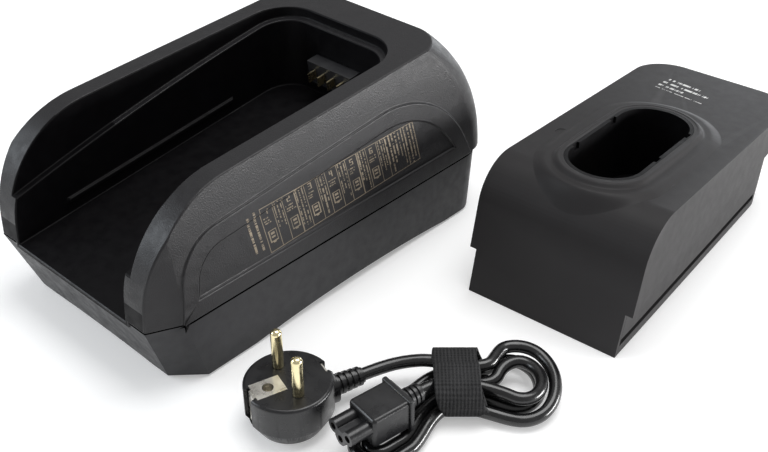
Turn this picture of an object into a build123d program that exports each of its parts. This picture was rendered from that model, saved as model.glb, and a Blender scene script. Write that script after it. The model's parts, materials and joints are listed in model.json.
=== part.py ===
from build123d import *
import math
import os

# Battery charger set in millimetres, +Z up. The cradle stands at the origin, open towards -Y,
# with its printed side towards +X. The battery adapter is modelled where it sits in the cradle
# and is then set down on the table beside it. The mains lead lies on the table in front of both.

os.makedirs("parts", exist_ok=True)

# ---------------------------------------------------------------- cradle, outside
CRADLE_WIDTH = 120.0
CRADLE_LENGTH = 214.0
FRONT_REACH = 104.0
PARTING_HEIGHT = 34.4
FEET_REVEAL = 1.0
FRONT_RIM_HEIGHT = 87.2
RIM_SLOPE = 0.062
FRONT_LEAN = 0.08
FRONT_BEND_RADIUS = 50.0
SHELL_WALL = 2.6
PARTING_GAP = 0.2
SHOULDER_HEIGHT = 74.0
SHOULDER_INSET = 4.2
SHOULDER_BACK_INSET = 4.5
CROWN_HEIGHT = 112.0
CROWN_INSET = 12.0
CROWN_BACK_INSET = 44.0
BACK_CORNER_RADIUS = 12.0
SHOULDER_CORNER_RADIUS = 18.0
CROWN_CORNER_RADIUS = 18.0
FRONT_CHAMFER = (7.6, 15.0)
BOTTOM_FRONT_INSET = 11.5
BOTTOM_CHAMFER = (12.4, 12.5)
BOTTOM_BACK_INSET = 6.5
BOTTOM_DRAFT = 0.6
LOWER_BACK_INSET = 3.6
BACK_SKIRT_DROP = 8.0
BACK_SKIRT_THICKNESS = 2.6
SIDE_ARCH_RISE = 3.0
SIDE_ARCH_ENDS = (-52.0, 78.0)
FRONT_ARCH_RISE = 1.8
FRONT_ARCH_WIDTH = 74.0
LIP_HEIGHT = 34.0

# ---------------------------------------------------------------- cradle, trough
TROUGH_FRONT_WIDTH = 86.0
TROUGH_BACK_WIDTH = 82.6
TROUGH_DEPTH = 169.6
TROUGH_CORNER_RADIUS = 20.0
TROUGH_WALL = 2.4
TROUGH_OVERRUN = 20.0
TROUGH_FLOOR_SLOPE = 0.13
LEDGE_WIDTH = 3.5
LEDGE_FRONT_HEIGHT = 56.0
LEDGE_MIDDLE_HEIGHT = 77.6
LEDGE_BACK_HEIGHT = 92.5
RAIL_LIFT = 6.0
RAIL_HEIGHT = 2.2
RAIL_DEPTH = 1.5
RAIL_ENDS = (-76.0, 24.0)

# ---------------------------------------------------------------- cradle, side arch
ARCH_ENDS = (-90.0, 96.7)
ARCH_CORNERS = ((-84.5, 70.0), (74.5, 83.2))
ARCH_FRONT_RADIUS = 24.0
ARCH_BACK_RADIUS = 58.0
ARCH_BAND = 8.5
ARCH_RAISE = 0.9

# ---------------------------------------------------------------- fits and small hardware
FIT = 0.15
ADAPTER_GAP = 0.5
FOOT_DIAMETER = 12.0
FOOT_HEIGHT = 2.8
FOOT_SPREAD = (92.0, 150.0)
SCREW_DIAMETER = 3.0
SCREW_HEAD_DIAMETER = 5.6
SCREW_HEAD_HEIGHT = 2.2
BOSS_DIAMETER = 8.0
CASE_BOSSES = ((50.5, -58.0), (50.5, 62.0))
BOSS_HEIGHT = 16.0
LOWER_BOSS_DIAMETER = 10.0
BOSS_RIB = 2.0
SCREW_SEAT_LIFT = 4.0
SCREW_HEAD_ROOM = 1.0
SCREW_HOLE_END = 2.0
SCREW_TIP_GAP = 2.0
RAIL_ROOT = 0.5
SHOULDER_CHAMFER_SHARE = 0.66
CROWN_CHAMFER_SHARE = 0.46

# ---------------------------------------------------------------- electronics
INNER_FLOOR = 8.0
BOARD_WIDTH = 84.0
BOARD_LENGTH = 142.0
BOARD_THICKNESS = 1.6
BOARD_MIDDLE_Y = -4.0
STANDOFF_HEIGHT = 4.0
STANDOFF_DIAMETER = 6.0
STANDOFF_SPREAD = (74.0, 132.0)
STANDOFF_HOLE_DEPTH = 3.0
BOARD_SCREW_REACH = 5.0
INLET_PIN_TAIL = 3.0
INLET_HEIGHT = 15.0
INLET_BODY = (20.0, 18.0, 14.0)
INLET_FLANGE = (26.0, 1.6, 18.0)
INLET_POCKET = (16.8, 14.0, 10.2)
INLET_PIN_DIAMETER = 2.4
INLET_PIN_LENGTH = 16.0
CONTACT_BLOCK = (30.0, 12.0, 12.0)
CONTACT_BLOCK_PROUD = 6.0
CONTACT_BLOCK_LIFT = 15.0
CONTACT_SHOULDER = (36.0, 2.0, 16.0)
BLADE = (0.8, 19.0, 5.0)
BLADE_PROUD = 5.0
BLADE_PITCH = 6.6
BLADE_COUNT = 4
LAMP_DIAMETER = 3.0
LAMP_PITCH = 12.0
LAMP_HEIGHT = 52.0
LAMP_Y = -30.0
LAMP_BOARD = (1.6, 30.0, 12.0)
LAMP_BOARD_INSET = 7.4
LAMP_HOLDER_THICKNESS = 2.0
LAMP_HOLDER_INSET = 2.0
LAMP_HOLE_DEPTH = 8.0
LAMP_SUNK = 1.6

# Board-mounted parts. Each is its size, then its middle on the board.
EMI_CAPACITOR = ((18.0, 8.5, 14.0), (-24.0, 57.0))
EMI_CHOKE = ((22.0, 9.0, 10.0), (-2.0, 50.0))
OUTPUT_CHOKE = ((20.0, 8.0, 9.0), (2.0, -26.0))
BRIDGE_RECTIFIER = ((15.0, 4.0, 12.0), (26.0, 46.0))
CONTROLLER_CHIP = ((12.0, 9.0, 2.0), (-4.0, -56.0))
BULK_CAPACITOR = ((20.0, 28.0), (-26.0, 32.0))
OUTPUT_CAPACITOR = ((12.5, 20.0), ((-28.0, 2.0), (-28.0, -14.0), (-28.0, -30.0)))
FUSE = ((5.2, 20.0), (24.0, 60.0))
FUSE_CLIP = (4.0, 5.2, 3.2)
TRANSFORMER_CORE = ((34.0, 28.0, 24.0), (12.0, 12.0))
TRANSFORMER_LIFT = 1.5
TRANSFORMER_WINDOW = (24.0, 15.0)
TRANSFORMER_LEG = 9.0
TRANSFORMER_WINDING = (23.0, 26.0, 14.4)
TRANSFORMER_PIN_BAR = (20.0, 4.0, 5.0)
HEATSINK = ((3.0, 50.0, 22.0), (36.0, -30.0))
HEATSINK_FIN = (5.0, 1.6)
HEATSINK_FIN_COUNT = 6
TRANSISTOR = ((4.0, 10.0, 12.0), (-42.0, -18.0))
TRANSISTOR_LEG = (0.8, 1.2, 5.0)
TRANSISTOR_LEG_PITCH = 2.5

# ---------------------------------------------------------------- battery adapter
ADAPTER_PROUD = 12.5
ADAPTER_BEND_RADIUS = 22.0
ADAPTER_FLOOR_GAP = 1.0
ADAPTER_WALL = 2.2
GROOVE_DEPTH = 1.8
WELL_LENGTH = 82.0
WELL_WIDTH = 34.5
WELL_DEPTH = 34.0
WELL_WALL = 1.8
WELL_SETBACK = 63.0
WELL_KEY = (5.0, 3.0, 1.2)
WELL_KEYS = ((-1, 16.0), (-1, -20.0), (1, -8.0), (1, 24.0))
COLLAR_MARGIN = 4.5
COLLAR_HEIGHT = 3.2
COLLAR_STEP_MARGIN = 10.0
COLLAR_STEP_HEIGHT = 1.2
PIN_DIAMETER = 4.0
PIN_TIP_HEIGHT = 7.0
PIN_SHOULDER_DIAMETER = 6.0
PIN_SHOULDER = 1.2
PIN_SHOULDER_GAP = 0.4
PIN_CLEARANCE = 0.2
PIN_TAIL = 9.0
PIN_TAIL_DIAMETER = 2.0
PIN_PITCH = 22.0
SPRING_WIRE = 0.5
SPRING_DIAMETER = 3.3
SPRING_LENGTH = 5.0
SPRING_TURNS = 4
SPRING_END_GAP = 0.05
CARRIER = (20.0, 60.0)
ADAPTER_BOARD = (40.0, 50.0)
ADAPTER_BOARD_SETBACK = 36.6
ADAPTER_POST_INSET = 4.0
SOCKET = (29.0, 10.0, 11.0)
SOCKET_SLOT = (1.8, 7.0, 5.6)
SOCKET_CONTACT = (0.4, 6.0, 4.6)
FRONT_BOSS = (30.0, 22.0)
REAR_BOSS = (27.0, 19.6)
ADAPTER_SCREW_GRIP = 10.0
PLINTH_DEPTH = 20.0
SKIRT_REACH = 8.0
WELL_FLANGE = 4.0
ADAPTER_STAND = (143.3, 45.4)
ADAPTER_YAW = 4.3

# ---------------------------------------------------------------- mains lead
CABLE_DIAMETER = 5.6
BEND_SHARE = 0.45
PLUG_PLACE = (104.5, -74.0)
PLUG_HEADING = 72.0
PLUG_DIAMETER = 37.0
PLUG_THICKNESS = 22.0
PLUG_BACK_DIAMETER = 28.0
PLUG_BEVEL_HEIGHT = 8.0
PLUG_EDGE = 1.4
PLUG_PIN_DIAMETER = 4.8
PLUG_PIN_LENGTH = 19.0
PLUG_PIN_SPACING = 19.0
PLUG_PIN_ROOT = 8.0
PLUG_PIN_NECK = 3.8
PLUG_PIN_SHOULDER = 0.3
PLUG_PIN_ROUNDING = 2.0
PLUG_EARTH_PLACE = -9.0
PLUG_EARTH_PLATE = (13.0, 9.5, 1.0)
PLUG_EARTH_BORE = 4.8
PLUG_EARTH_TUBE = 7.0
PLUG_EARTH_DEPTH = 13.0
PLUG_EARTH_FLOOR = 1.0
PLUG_CLIP = (0.9, 5.0, 0.6)
PLUG_CLIP_SLOT = (3.0, 7.0, 16.5)
PLUG_OUTLET_DIAMETER = 14.0
PLUG_OUTLET_REACH = 20.0
PLUG_OUTLET_HEIGHT = 9.5
RELIEF_END = 33.5
RELIEF_RIB = 0.9
RELIEF_RIB_SHARE = 0.55
RELIEF_WALL = 1.2
RELIEF_RIBS = 5
RELIEF_DIAMETER = 9.5
STRAP_PLACE = (148.2, -16.6)
STRAP_HEADING = 42.6
STRAP_WIDTH = 22.0
STRAP_THICKNESS = 1.6
STRAP_CORNER = 4.0
STRAP_INNER_CORNER = 0.2
BUNDLE_WIDTH = 30.0
STRAP_GAP = 0.3
BUNDLE_TOP = 17.4
BUNDLE_ENDS = (-13.0, 16.0)
TABLE_GAP = 0.4
HANK_LOOP_SIZE = (30.0, 46.0)
HANK_LOOP_HOLE = (10.0, 20.0)
HANK_LOOP_PLACE = (27.0, 3.0)
HANK_LOOP_TOP = 14.8
HANK_FOLD_START = (-20.0, -18.4)
HANK_FOLD_PLACE = (-34.4, -29.5)
HANK_FOLD_WIDTH = 25.0
HANK_FOLD_TOP = 6.2
CONNECTOR_NOSE_PLACE = (136.2, -76.7)
CONNECTOR_HEADING = 80.4
CONNECTOR_REST_GAP = 0.3
CONNECTOR_BODY = (21.0, 17.0, 14.6)
CONNECTOR_NOSE_LENGTH = 10.0
CONNECTOR_LOBE = 6.2
CONNECTOR_WEB = (7.0, 5.0)
CONNECTOR_EDGE = 1.8
CONNECTOR_FLANGE_EDGE = 0.8
CONNECTOR_BORE = 3.2
CONNECTOR_BORE_PLACES = ((-4.6, 1.6), (4.6, 1.6), (0.0, -1.8))
CONNECTOR_BORE_DEPTH = 15.0
CONNECTOR_SLEEVE = 0.4
CONNECTOR_SLEEVE_SETBACK = 1.5
CONNECTOR_FLANGE = (2.4, 19.0, 16.0)
CONNECTOR_RELIEF_LENGTH = 9.0
TAIL_REACH = 9.0

# The cable's free run, from the plug's relief to the strapped bundle.
RUN_ROUTE = (
    (114.85, -42.14, 9.5),
    (117.9, -32.8, 9.6),
    (123.6, -24.4, 10.6),
    (131.2, -17.3, 11.5),
)

# ---------------------------------------------------------------- values that follow
FRONT = -FRONT_REACH
BACK = FRONT + CRADLE_LENGTH
HALF = CRADLE_WIDTH / 2
TROUGH_BACK = FRONT + TROUGH_DEPTH
WELL_Y = FRONT + WELL_SETBACK
ADAPTER_BOARD_Y = TROUGH_BACK - ADAPTER_BOARD_SETBACK
ADAPTER_BOSSES = ((FRONT_BOSS[0], FRONT + FRONT_BOSS[1]), (REAR_BOSS[0], TROUGH_BACK - REAR_BOSS[1]))
FLOOR_ANGLE = math.degrees(math.atan(TROUGH_FLOOR_SLOPE))
PLATE_ANGLE = math.degrees(math.atan(RIM_SLOPE))
BOARD_BOTTOM = INNER_FLOOR + STANDOFF_HEIGHT
BOARD_TOP = BOARD_BOTTOM + BOARD_THICKNESS
REACH = 2 * CRADLE_LENGTH


def rim_height(y):
    """Height of the cradle's rim line over the table at a place along the cradle."""
    return FRONT_RIM_HEIGHT + RIM_SLOPE * (y - FRONT)


def floor_height(y):
    """Height of the trough's floor at a place along the cradle."""
    return LIP_HEIGHT + TROUGH_FLOOR_SLOPE * (y - FRONT)


def side_prism(points, half_width=REACH):
    """A prism across the cradle whose side view is the polygon of (y, z) points."""
    outline = Polyline(*[(y, z) for y, z in points], close=True)
    return extrude(Plane.YZ * make_face(outline), half_width, both=True)


def box(size, place):
    """A box by its size and the middle of its underside."""
    return Pos(*place) * Box(*size, align=(Align.CENTER, Align.CENTER, Align.MIN))


def post(diameter, height, place):
    """An upright cylinder by the middle of its underside."""
    return Pos(*place) * Cylinder(diameter / 2, height, align=(Align.CENTER, Align.CENTER, Align.MIN))


def mirrored(places):
    """The given places and their mirror images across the cradle's middle."""
    return [(side * x, y) for x, y in places for side in (-1, 1)]


# ---------------------------------------------------------------- cradle shells
def cradle_section(width, front, back, corner, chamfer, height, grow):
    """One plan outline of the cradle: chamfered at the front, rounded at the back."""
    half = width / 2 + grow
    inset, run = chamfer
    outline = Polyline(
        (-(half - inset), front - grow),
        (half - inset, front - grow),
        (half, front - grow + run),
        (half, back + grow),
        (-half, back + grow),
        (-half, front - grow + run),
        close=True,
    )
    face = make_face(outline)
    rear = face.vertices().sort_by(Axis.Y)[-2:]
    return Pos(0, 0, height) * fillet(rear, corner + grow)


def upper_block(grow):
    """The upper housing's outside before its rim is cut, grown by an amount on every side."""
    inset, run = FRONT_CHAMFER
    shoulder_chamfer = (inset * SHOULDER_CHAMFER_SHARE, run)
    crown_chamfer = (inset * CROWN_CHAMFER_SHARE, run)
    shoulder_width = CRADLE_WIDTH - 2 * SHOULDER_INSET
    crown_width = CRADLE_WIDTH - 2 * CROWN_INSET
    sections = [
        cradle_section(CRADLE_WIDTH, FRONT, BACK, BACK_CORNER_RADIUS, FRONT_CHAMFER, PARTING_HEIGHT, grow),
        cradle_section(shoulder_width, FRONT, BACK - SHOULDER_BACK_INSET, SHOULDER_CORNER_RADIUS,
                       shoulder_chamfer, SHOULDER_HEIGHT, grow),
        cradle_section(crown_width, FRONT, BACK - CROWN_BACK_INSET, CROWN_CORNER_RADIUS,
                       crown_chamfer, CROWN_HEIGHT, grow),
    ]
    return loft(sections)


def below_rim(drop, front_inset=0.0, bend_radius=FRONT_BEND_RADIUS):
    """Everything under the rim line, lowered by drop, and behind the leaning front line."""
    start = FRONT + front_inset
    top = FRONT_RIM_HEIGHT - drop
    points = [
        (start - FRONT_LEAN * PARTING_HEIGHT, 0),
        (start + FRONT_LEAN * (top - PARTING_HEIGHT), top),
        (REACH, top + RIM_SLOPE * (REACH - FRONT)),
        (REACH, 0),
    ]
    face = make_face(Polyline(*points, close=True))
    bend = face.vertices().sort_by(Axis.X)[1]
    profile = fillet(bend, bend_radius - max(drop, 0))
    return extrude(Plane.YZ * profile, REACH, both=True)


def trough_plan(grow):
    """Plan of the trough, open at the front: straight tapering sides and a rounded back."""
    slope = (TROUGH_FRONT_WIDTH - TROUGH_BACK_WIDTH) / 2 / TROUGH_DEPTH
    over = TROUGH_OVERRUN
    front_half = TROUGH_FRONT_WIDTH / 2 + slope * over + grow
    back_half = TROUGH_BACK_WIDTH / 2 + grow
    back = TROUGH_BACK + grow
    outline = Polyline(
        (-front_half, FRONT - over),
        (front_half, FRONT - over),
        (back_half, back),
        (-back_half, back),
        close=True,
    )
    face = make_face(outline)
    rear = face.vertices().sort_by(Axis.Y)[-2:]
    return extrude(fillet(rear, max(TROUGH_CORNER_RADIUS + grow, 1)), REACH)


def above_floor(lift):
    """Everything above the trough's floor line."""
    return side_prism([
        (-REACH, floor_height(-REACH) + lift),
        (REACH, floor_height(REACH) + lift),
        (REACH, REACH),
        (-REACH, REACH),
    ])


def above_ledge(lift):
    """Everything above the ledge's arched line, which runs on straight past the trough's ends."""
    middle_y = (FRONT + TROUGH_BACK) / 2
    start = Vector(FRONT, LEDGE_FRONT_HEIGHT + lift)
    middle = Vector(middle_y, LEDGE_MIDDLE_HEIGHT + lift)
    end = Vector(TROUGH_BACK, LEDGE_BACK_HEIGHT + lift)
    arc = ThreePointArc(start, middle, end)
    rest = Polyline(end, (REACH, end.Y), (REACH, REACH), (-REACH, REACH), (-REACH, start.Y), start)
    return extrude(Plane.YZ * make_face([arc, *rest.edges()]), REACH, both=True)


def trough(grow_sides, lift):
    """The trough's space: a narrow lower part and, above the ledge, a wider upper part."""
    lower = trough_plan(grow_sides - LEDGE_WIDTH) & above_floor(lift)
    upper = trough_plan(grow_sides) & above_ledge(lift)
    return lower + upper


def arch_prism(band):
    """The side arch's outline as a prism across the cradle, drawn in by a band."""
    (front_y, front_z), (back_y, back_z) = ARCH_CORNERS
    outline = Polyline((ARCH_ENDS[0], PARTING_HEIGHT), (front_y, front_z), (back_y, back_z),
                       (ARCH_ENDS[1], PARTING_HEIGHT), close=True)
    face = make_face(outline)
    corners = face.vertices().sort_by(Axis.Y)[-2:].sort_by(Axis.X)
    face = fillet(corners[0], ARCH_FRONT_RADIUS)
    face = fillet(face.vertices().group_by(Axis.Y)[-1], ARCH_BACK_RADIUS)
    if band:
        face = offset(face, -band)
    return extrude(Plane.YZ * face, REACH, both=True)


def above(height):
    """Everything above a level."""
    return box((REACH, REACH, REACH), (0, 0, height))


def floor_slab(low, high, y_ends):
    """A slab that follows the trough's floor between two lifts, from one place to another."""
    start, end = y_ends
    return side_prism([
        (start, floor_height(start) + low),
        (end, floor_height(end) + low),
        (end, floor_height(end) + high),
        (start, floor_height(start) + high),
    ])


def contact_frame():
    """Where the contact block sits: in the trough's back wall, turned to the floor's slope."""
    y = TROUGH_BACK - LEDGE_WIDTH
    return Pos(0, y, floor_height(y) + CONTACT_BLOCK_LIFT) * Rot(FLOOR_ANGLE, 0, 0)


def contact_block_solid(grow):
    """The contact block with its shoulder behind the wall, grown by a fit."""
    width, depth, height = CONTACT_BLOCK
    middle = depth / 2 - CONTACT_BLOCK_PROUD
    core = Pos(0, middle, 0) * Box(width + 2 * grow, depth + 2 * grow, height + 2 * grow)
    return contact_frame() * core


def contact_shoulder():
    """The flange that stops the contact block against the back of the trough's wall."""
    y = TROUGH_BACK - LEDGE_WIDTH
    depth = CONTACT_SHOULDER[1]
    middle = y + TROUGH_WALL + FIT + depth / 2
    return Pos(0, middle, floor_height(y) + CONTACT_BLOCK_LIFT) * Box(*CONTACT_SHOULDER)


def blade_places():
    """Sideways places of the contact blades."""
    first = -BLADE_PITCH * (BLADE_COUNT - 1) / 2
    return [first + BLADE_PITCH * index for index in range(BLADE_COUNT)]


def contact_blades():
    """Flat blades that point out of the contact block towards the trough's mouth."""
    middle = BLADE[1] / 2 - CONTACT_BLOCK_PROUD - BLADE_PROUD
    return [contact_frame() * Pos(x, middle, 0) * Box(*BLADE) for x in blade_places()]


def screw(place, base, head_up, length):
    """A pan-head screw with its head at the bottom: head underside at base."""
    head = post(SCREW_HEAD_DIAMETER, SCREW_HEAD_HEIGHT, (*place, base))
    shank = post(SCREW_DIAMETER - 2 * FIT, length, (*place, base + head_up))
    return head + shank


def lamp_places():
    """Lengthwise places of the two indicator lamps."""
    return (LAMP_Y - LAMP_PITCH / 2, LAMP_Y + LAMP_PITCH / 2)


def lamp_board_face():
    """Sideways place of the lamp board's outer face, inside the far wall."""
    return -(HALF - SHELL_WALL - LAMP_BOARD_INSET)


def upper_housing():
    """Trough, rim and sides in one moulding, with the side arches, rails and screw bosses."""
    outside = upper_block(0) & below_rim(0)
    tray = trough(TROUGH_WALL, -TROUGH_WALL) & below_rim(0)
    hollow = (upper_block(-SHELL_WALL) & below_rim(SHELL_WALL, SHELL_WALL)) - tray
    shell = outside - hollow + tray
    band = (upper_block(ARCH_RAISE) & arch_prism(0)) - arch_prism(ARCH_BAND) - upper_block(-1)
    skirt_height = BACK_SKIRT_DROP + SHELL_WALL
    skirt = box((CRADLE_WIDTH - 2 * BACK_CORNER_RADIUS, BACK_SKIRT_THICKNESS, skirt_height),
                (0, BACK - BACK_SKIRT_THICKNESS / 2, PARTING_HEIGHT - BACK_SKIRT_DROP))
    shell = shell + band + skirt
    for x, y in mirrored(CASE_BOSSES):
        side = math.copysign(1, x)
        rib = box((HALF - abs(x), BOSS_RIB, BOSS_HEIGHT), ((HALF + abs(x)) / 2 * side, y, PARTING_HEIGHT))
        boss = post(BOSS_DIAMETER, BOSS_HEIGHT, (x, y, PARTING_HEIGHT)) + (rib & upper_block(-1))
        shell = shell + boss - post(SCREW_DIAMETER, BOSS_HEIGHT - SCREW_HOLE_END, (x, y, PARTING_HEIGHT))
    rail = trough_plan(RAIL_ROOT - LEDGE_WIDTH) - trough_plan(-RAIL_DEPTH - LEDGE_WIDTH)
    rails = rail & floor_slab(RAIL_LIFT, RAIL_LIFT + RAIL_HEIGHT, RAIL_ENDS)
    face = lamp_board_face()
    for side in (-1, 1):
        holder_y = LAMP_Y + side * (LAMP_BOARD[1] / 2 - LAMP_HOLDER_INSET)
        holder = Pos((face - HALF) / 2, holder_y, LAMP_HEIGHT)
        holder = holder * Box(HALF + face, LAMP_HOLDER_THICKNESS, LAMP_BOARD[2])
        shell = shell + (holder & upper_block(-1))
    for y in lamp_places():
        hole = Cylinder(LAMP_DIAMETER / 2 + FIT, 2 * LAMP_HOLE_DEPTH)
        shell = shell - Pos(-HALF, y, LAMP_HEIGHT) * Rot(0, 90, 0) * hole
    shell = shell - trough(0, 0) + rails
    return shell - contact_block_solid(FIT)


def lower_block(grow):
    """The lower housing's outside, grown by an amount on every side."""
    sections = [
        cradle_section(CRADLE_WIDTH - BOTTOM_DRAFT, FRONT + BOTTOM_FRONT_INSET, BACK - BOTTOM_BACK_INSET,
                       BACK_CORNER_RADIUS, BOTTOM_CHAMFER, FEET_REVEAL, grow),
        cradle_section(CRADLE_WIDTH, FRONT, BACK - LOWER_BACK_INSET, BACK_CORNER_RADIUS,
                       FRONT_CHAMFER, PARTING_HEIGHT - PARTING_GAP, grow),
    ]
    return loft(sections, ruled=True)


def arch_under(plane, ends, rise):
    """The low arch that lifts a bottom edge off the table between its feet."""
    start, end = ends
    middle = ((start + end) / 2, FEET_REVEAL + rise)
    arc = ThreePointArc((start, FEET_REVEAL), middle, (end, FEET_REVEAL))
    chord = Polyline((end, FEET_REVEAL), (end, 0), (start, 0), (start, FEET_REVEAL))
    return extrude(plane * make_face([arc, *chord.edges()]), REACH, both=True)


def foot_places():
    """Middles of the four rubber feet."""
    x, y = FOOT_SPREAD[0] / 2, FOOT_SPREAD[1] / 2
    return [(sx * x, sy * y) for sx in (-1, 1) for sy in (-1, 1)]


def standoff_places():
    """Middles of the four posts that carry the circuit board."""
    x, y = STANDOFF_SPREAD[0] / 2, STANDOFF_SPREAD[1] / 2
    return [(sx * x, BOARD_MIDDLE_Y + sy * y) for sx in (-1, 1) for sy in (-1, 1)]


def inlet_solid(grow):
    """The mains inlet's body and flange, grown by a fit."""
    wall = BACK - LOWER_BACK_INSET
    body = box([size + 2 * grow for size in INLET_BODY],
               (0, wall - INLET_BODY[1] / 2, INLET_HEIGHT - INLET_BODY[2] / 2 - grow))
    return body


def lower_housing():
    """Tray that carries the electronics, with slanted front, feet recesses and screw bosses."""
    tray = lower_block(0) - (lower_block(-SHELL_WALL) & above(INNER_FLOOR))
    for x, y in mirrored(CASE_BOSSES):
        root = INNER_FLOOR / 2
        tray = tray + post(LOWER_BOSS_DIAMETER, PARTING_HEIGHT - PARTING_GAP - root, (x, y, root))
        tray = tray - post(SCREW_HEAD_DIAMETER + SCREW_HEAD_ROOM, INNER_FLOOR + SCREW_SEAT_LIFT, (x, y, 0))
        tray = tray - post(SCREW_DIAMETER + 2 * FIT, PARTING_HEIGHT, (x, y, 0))
    for x, y in standoff_places():
        tray = tray + post(STANDOFF_DIAMETER, STANDOFF_HEIGHT, (x, y, INNER_FLOOR))
        hole_base = INNER_FLOOR - STANDOFF_HOLE_DEPTH
        tray = tray - post(SCREW_DIAMETER - 2 * FIT, STANDOFF_HEIGHT + STANDOFF_HOLE_DEPTH, (x, y, hole_base))
    tray = tray - arch_under(Plane.YZ, SIDE_ARCH_ENDS, SIDE_ARCH_RISE)
    half_arch = FRONT_ARCH_WIDTH / 2
    tray = tray - arch_under(Plane.XZ, (-half_arch, half_arch), FRONT_ARCH_RISE)
    for x, y in foot_places():
        tray = tray - post(FOOT_DIAMETER + 2 * FIT, FOOT_HEIGHT, (x, y, 0))
    tray = tray - inlet_solid(FIT)
    clearance = TROUGH_WALL + PARTING_GAP
    return tray - trough(clearance, -clearance)


# ---------------------------------------------------------------- cradle electronics
def circuit_board():
    """Main board with a hole over each standoff."""
    board = box((BOARD_WIDTH, BOARD_LENGTH, BOARD_THICKNESS), (0, BOARD_MIDDLE_Y, BOARD_BOTTOM))
    for x, y in standoff_places():
        board = board - post(SCREW_DIAMETER + 2 * FIT, 3 * BOARD_THICKNESS, (x, y, BOARD_BOTTOM - 1))
    return board


def board_screws():
    """One screw through the board into each standoff."""
    screws = []
    for x, y in standoff_places():
        shank_base = BOARD_BOTTOM - BOARD_SCREW_REACH
        shank = post(SCREW_DIAMETER - 4 * FIT, BOARD_THICKNESS + BOARD_SCREW_REACH, (x, y, shank_base))
        screws.append(shank + post(SCREW_HEAD_DIAMETER, SCREW_HEAD_HEIGHT, (x, y, BOARD_TOP)))
    return screws


def mains_inlet():
    """Three-pole appliance inlet with an open pocket to the rear."""
    wall = BACK - LOWER_BACK_INSET
    flange = box(INLET_FLANGE, (0, wall + INLET_FLANGE[1] / 2, INLET_HEIGHT - INLET_FLANGE[2] / 2))
    pocket = box(INLET_POCKET, (0, wall + INLET_FLANGE[1] - INLET_POCKET[1] / 2,
                                INLET_HEIGHT - INLET_POCKET[2] / 2))
    body = inlet_solid(0) + flange - pocket
    for pin in inlet_pins():
        body = body - pin
    return body


def inlet_pins():
    """Three round pins on the same pattern as the lead's connector."""
    start = BACK - LOWER_BACK_INSET - INLET_BODY[1] - INLET_PIN_TAIL
    pins = []
    for x, z in CONNECTOR_BORE_PLACES:
        pin = Cylinder(INLET_PIN_DIAMETER / 2, INLET_PIN_LENGTH)
        pins.append(Pos(x, start + INLET_PIN_LENGTH / 2, INLET_HEIGHT + z) * Rot(90, 0, 0) * pin)
    return pins


def ring(outer, inner, height, place):
    """A flat ring by the middle of its underside."""
    return post(outer, height, place) - post(inner, 3 * height, (place[0], place[1], place[2] - height))


def transformer_core():
    """Closed ferrite frame with a round middle leg."""
    size, (x, y) = TRANSFORMER_CORE
    opening, opening_height = TRANSFORMER_WINDOW
    base = BOARD_TOP + TRANSFORMER_LIFT
    frame = box(size, (x, y, base))
    window = box((opening, 2 * size[1], opening_height), (x, y, base + (size[2] - opening_height) / 2))
    return frame - window + post(TRANSFORMER_LEG, size[2], (x, y, base))


def transformer_winding():
    """Wound bobbin round the middle leg, with a pin bar down to the board at one end."""
    size, (x, y) = TRANSFORMER_CORE
    width, depth, height = TRANSFORMER_WINDING
    base = BOARD_TOP + TRANSFORMER_LIFT + (size[2] - height) / 2
    coil = box((width, depth, height), (x, y, base)) - post(TRANSFORMER_LEG + 2 * FIT, height, (x, y, base))
    bar_width, bar_depth, bar_height = TRANSFORMER_PIN_BAR
    bar_y = y + size[1] / 2 + FIT + bar_depth / 2
    bar = box((bar_width, bar_depth, base + bar_height - BOARD_TOP), (x, bar_y, BOARD_TOP))
    link = box((bar_width, bar_depth, bar_height), (x, y + size[1] / 2, base))
    return coil + bar + link


def heatsink():
    """Upright aluminium plate with fins on one side."""
    (thickness, length, height), (x, y) = HEATSINK
    fin_depth, fin_thickness = HEATSINK_FIN
    plate = box((thickness, length, height), (x, y, BOARD_TOP))
    pitch = (length - fin_thickness) / (HEATSINK_FIN_COUNT - 1)
    for index in range(HEATSINK_FIN_COUNT):
        fin_y = y - (length - fin_thickness) / 2 + index * pitch
        plate = plate + box((fin_depth, fin_thickness, height), (x - fin_depth / 2, fin_y, BOARD_TOP))
    return plate


def power_transistors():
    """Two tab packages against the heatsink's flat side."""
    (thickness, length, _), (sink_x, _) = HEATSINK
    size, places = TRANSISTOR
    leg_height = TRANSISTOR_LEG[2]
    x = sink_x + (thickness + size[0]) / 2
    packages = []
    for y in places:
        body = box(size, (x, y, BOARD_TOP + leg_height))
        for step in (-TRANSISTOR_LEG_PITCH, 0, TRANSISTOR_LEG_PITCH):
            body = body + box(TRANSISTOR_LEG, (x, y + step, BOARD_TOP))
        packages.append(body)
    return packages


def fuse():
    """Tube fuse lying in two clips."""
    (diameter, length), (x, y) = FUSE
    clip_height = FUSE_CLIP[2]
    tube = Pos(x, y, BOARD_TOP + clip_height) * Rot(0, 90, 0) * Cylinder(diameter / 2, length)
    for side in (-1, 1):
        clip_x = x + side * (length - FUSE_CLIP[0]) / 2
        tube = tube + box(FUSE_CLIP, (clip_x, y, BOARD_TOP))
    return tube


def on_board(part):
    """A plain block or can standing on the board, from its size and place."""
    size, (x, y) = part
    place = (x, y, BOARD_TOP)
    return box(size, place) if len(size) == 3 else post(*size, place)


def coil_on_board(part):
    """A ring-shaped coil on the board, from its outer and inner diameters and height."""
    (outer, inner, height), (x, y) = part
    return ring(outer, inner, height, (x, y, BOARD_TOP))


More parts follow.
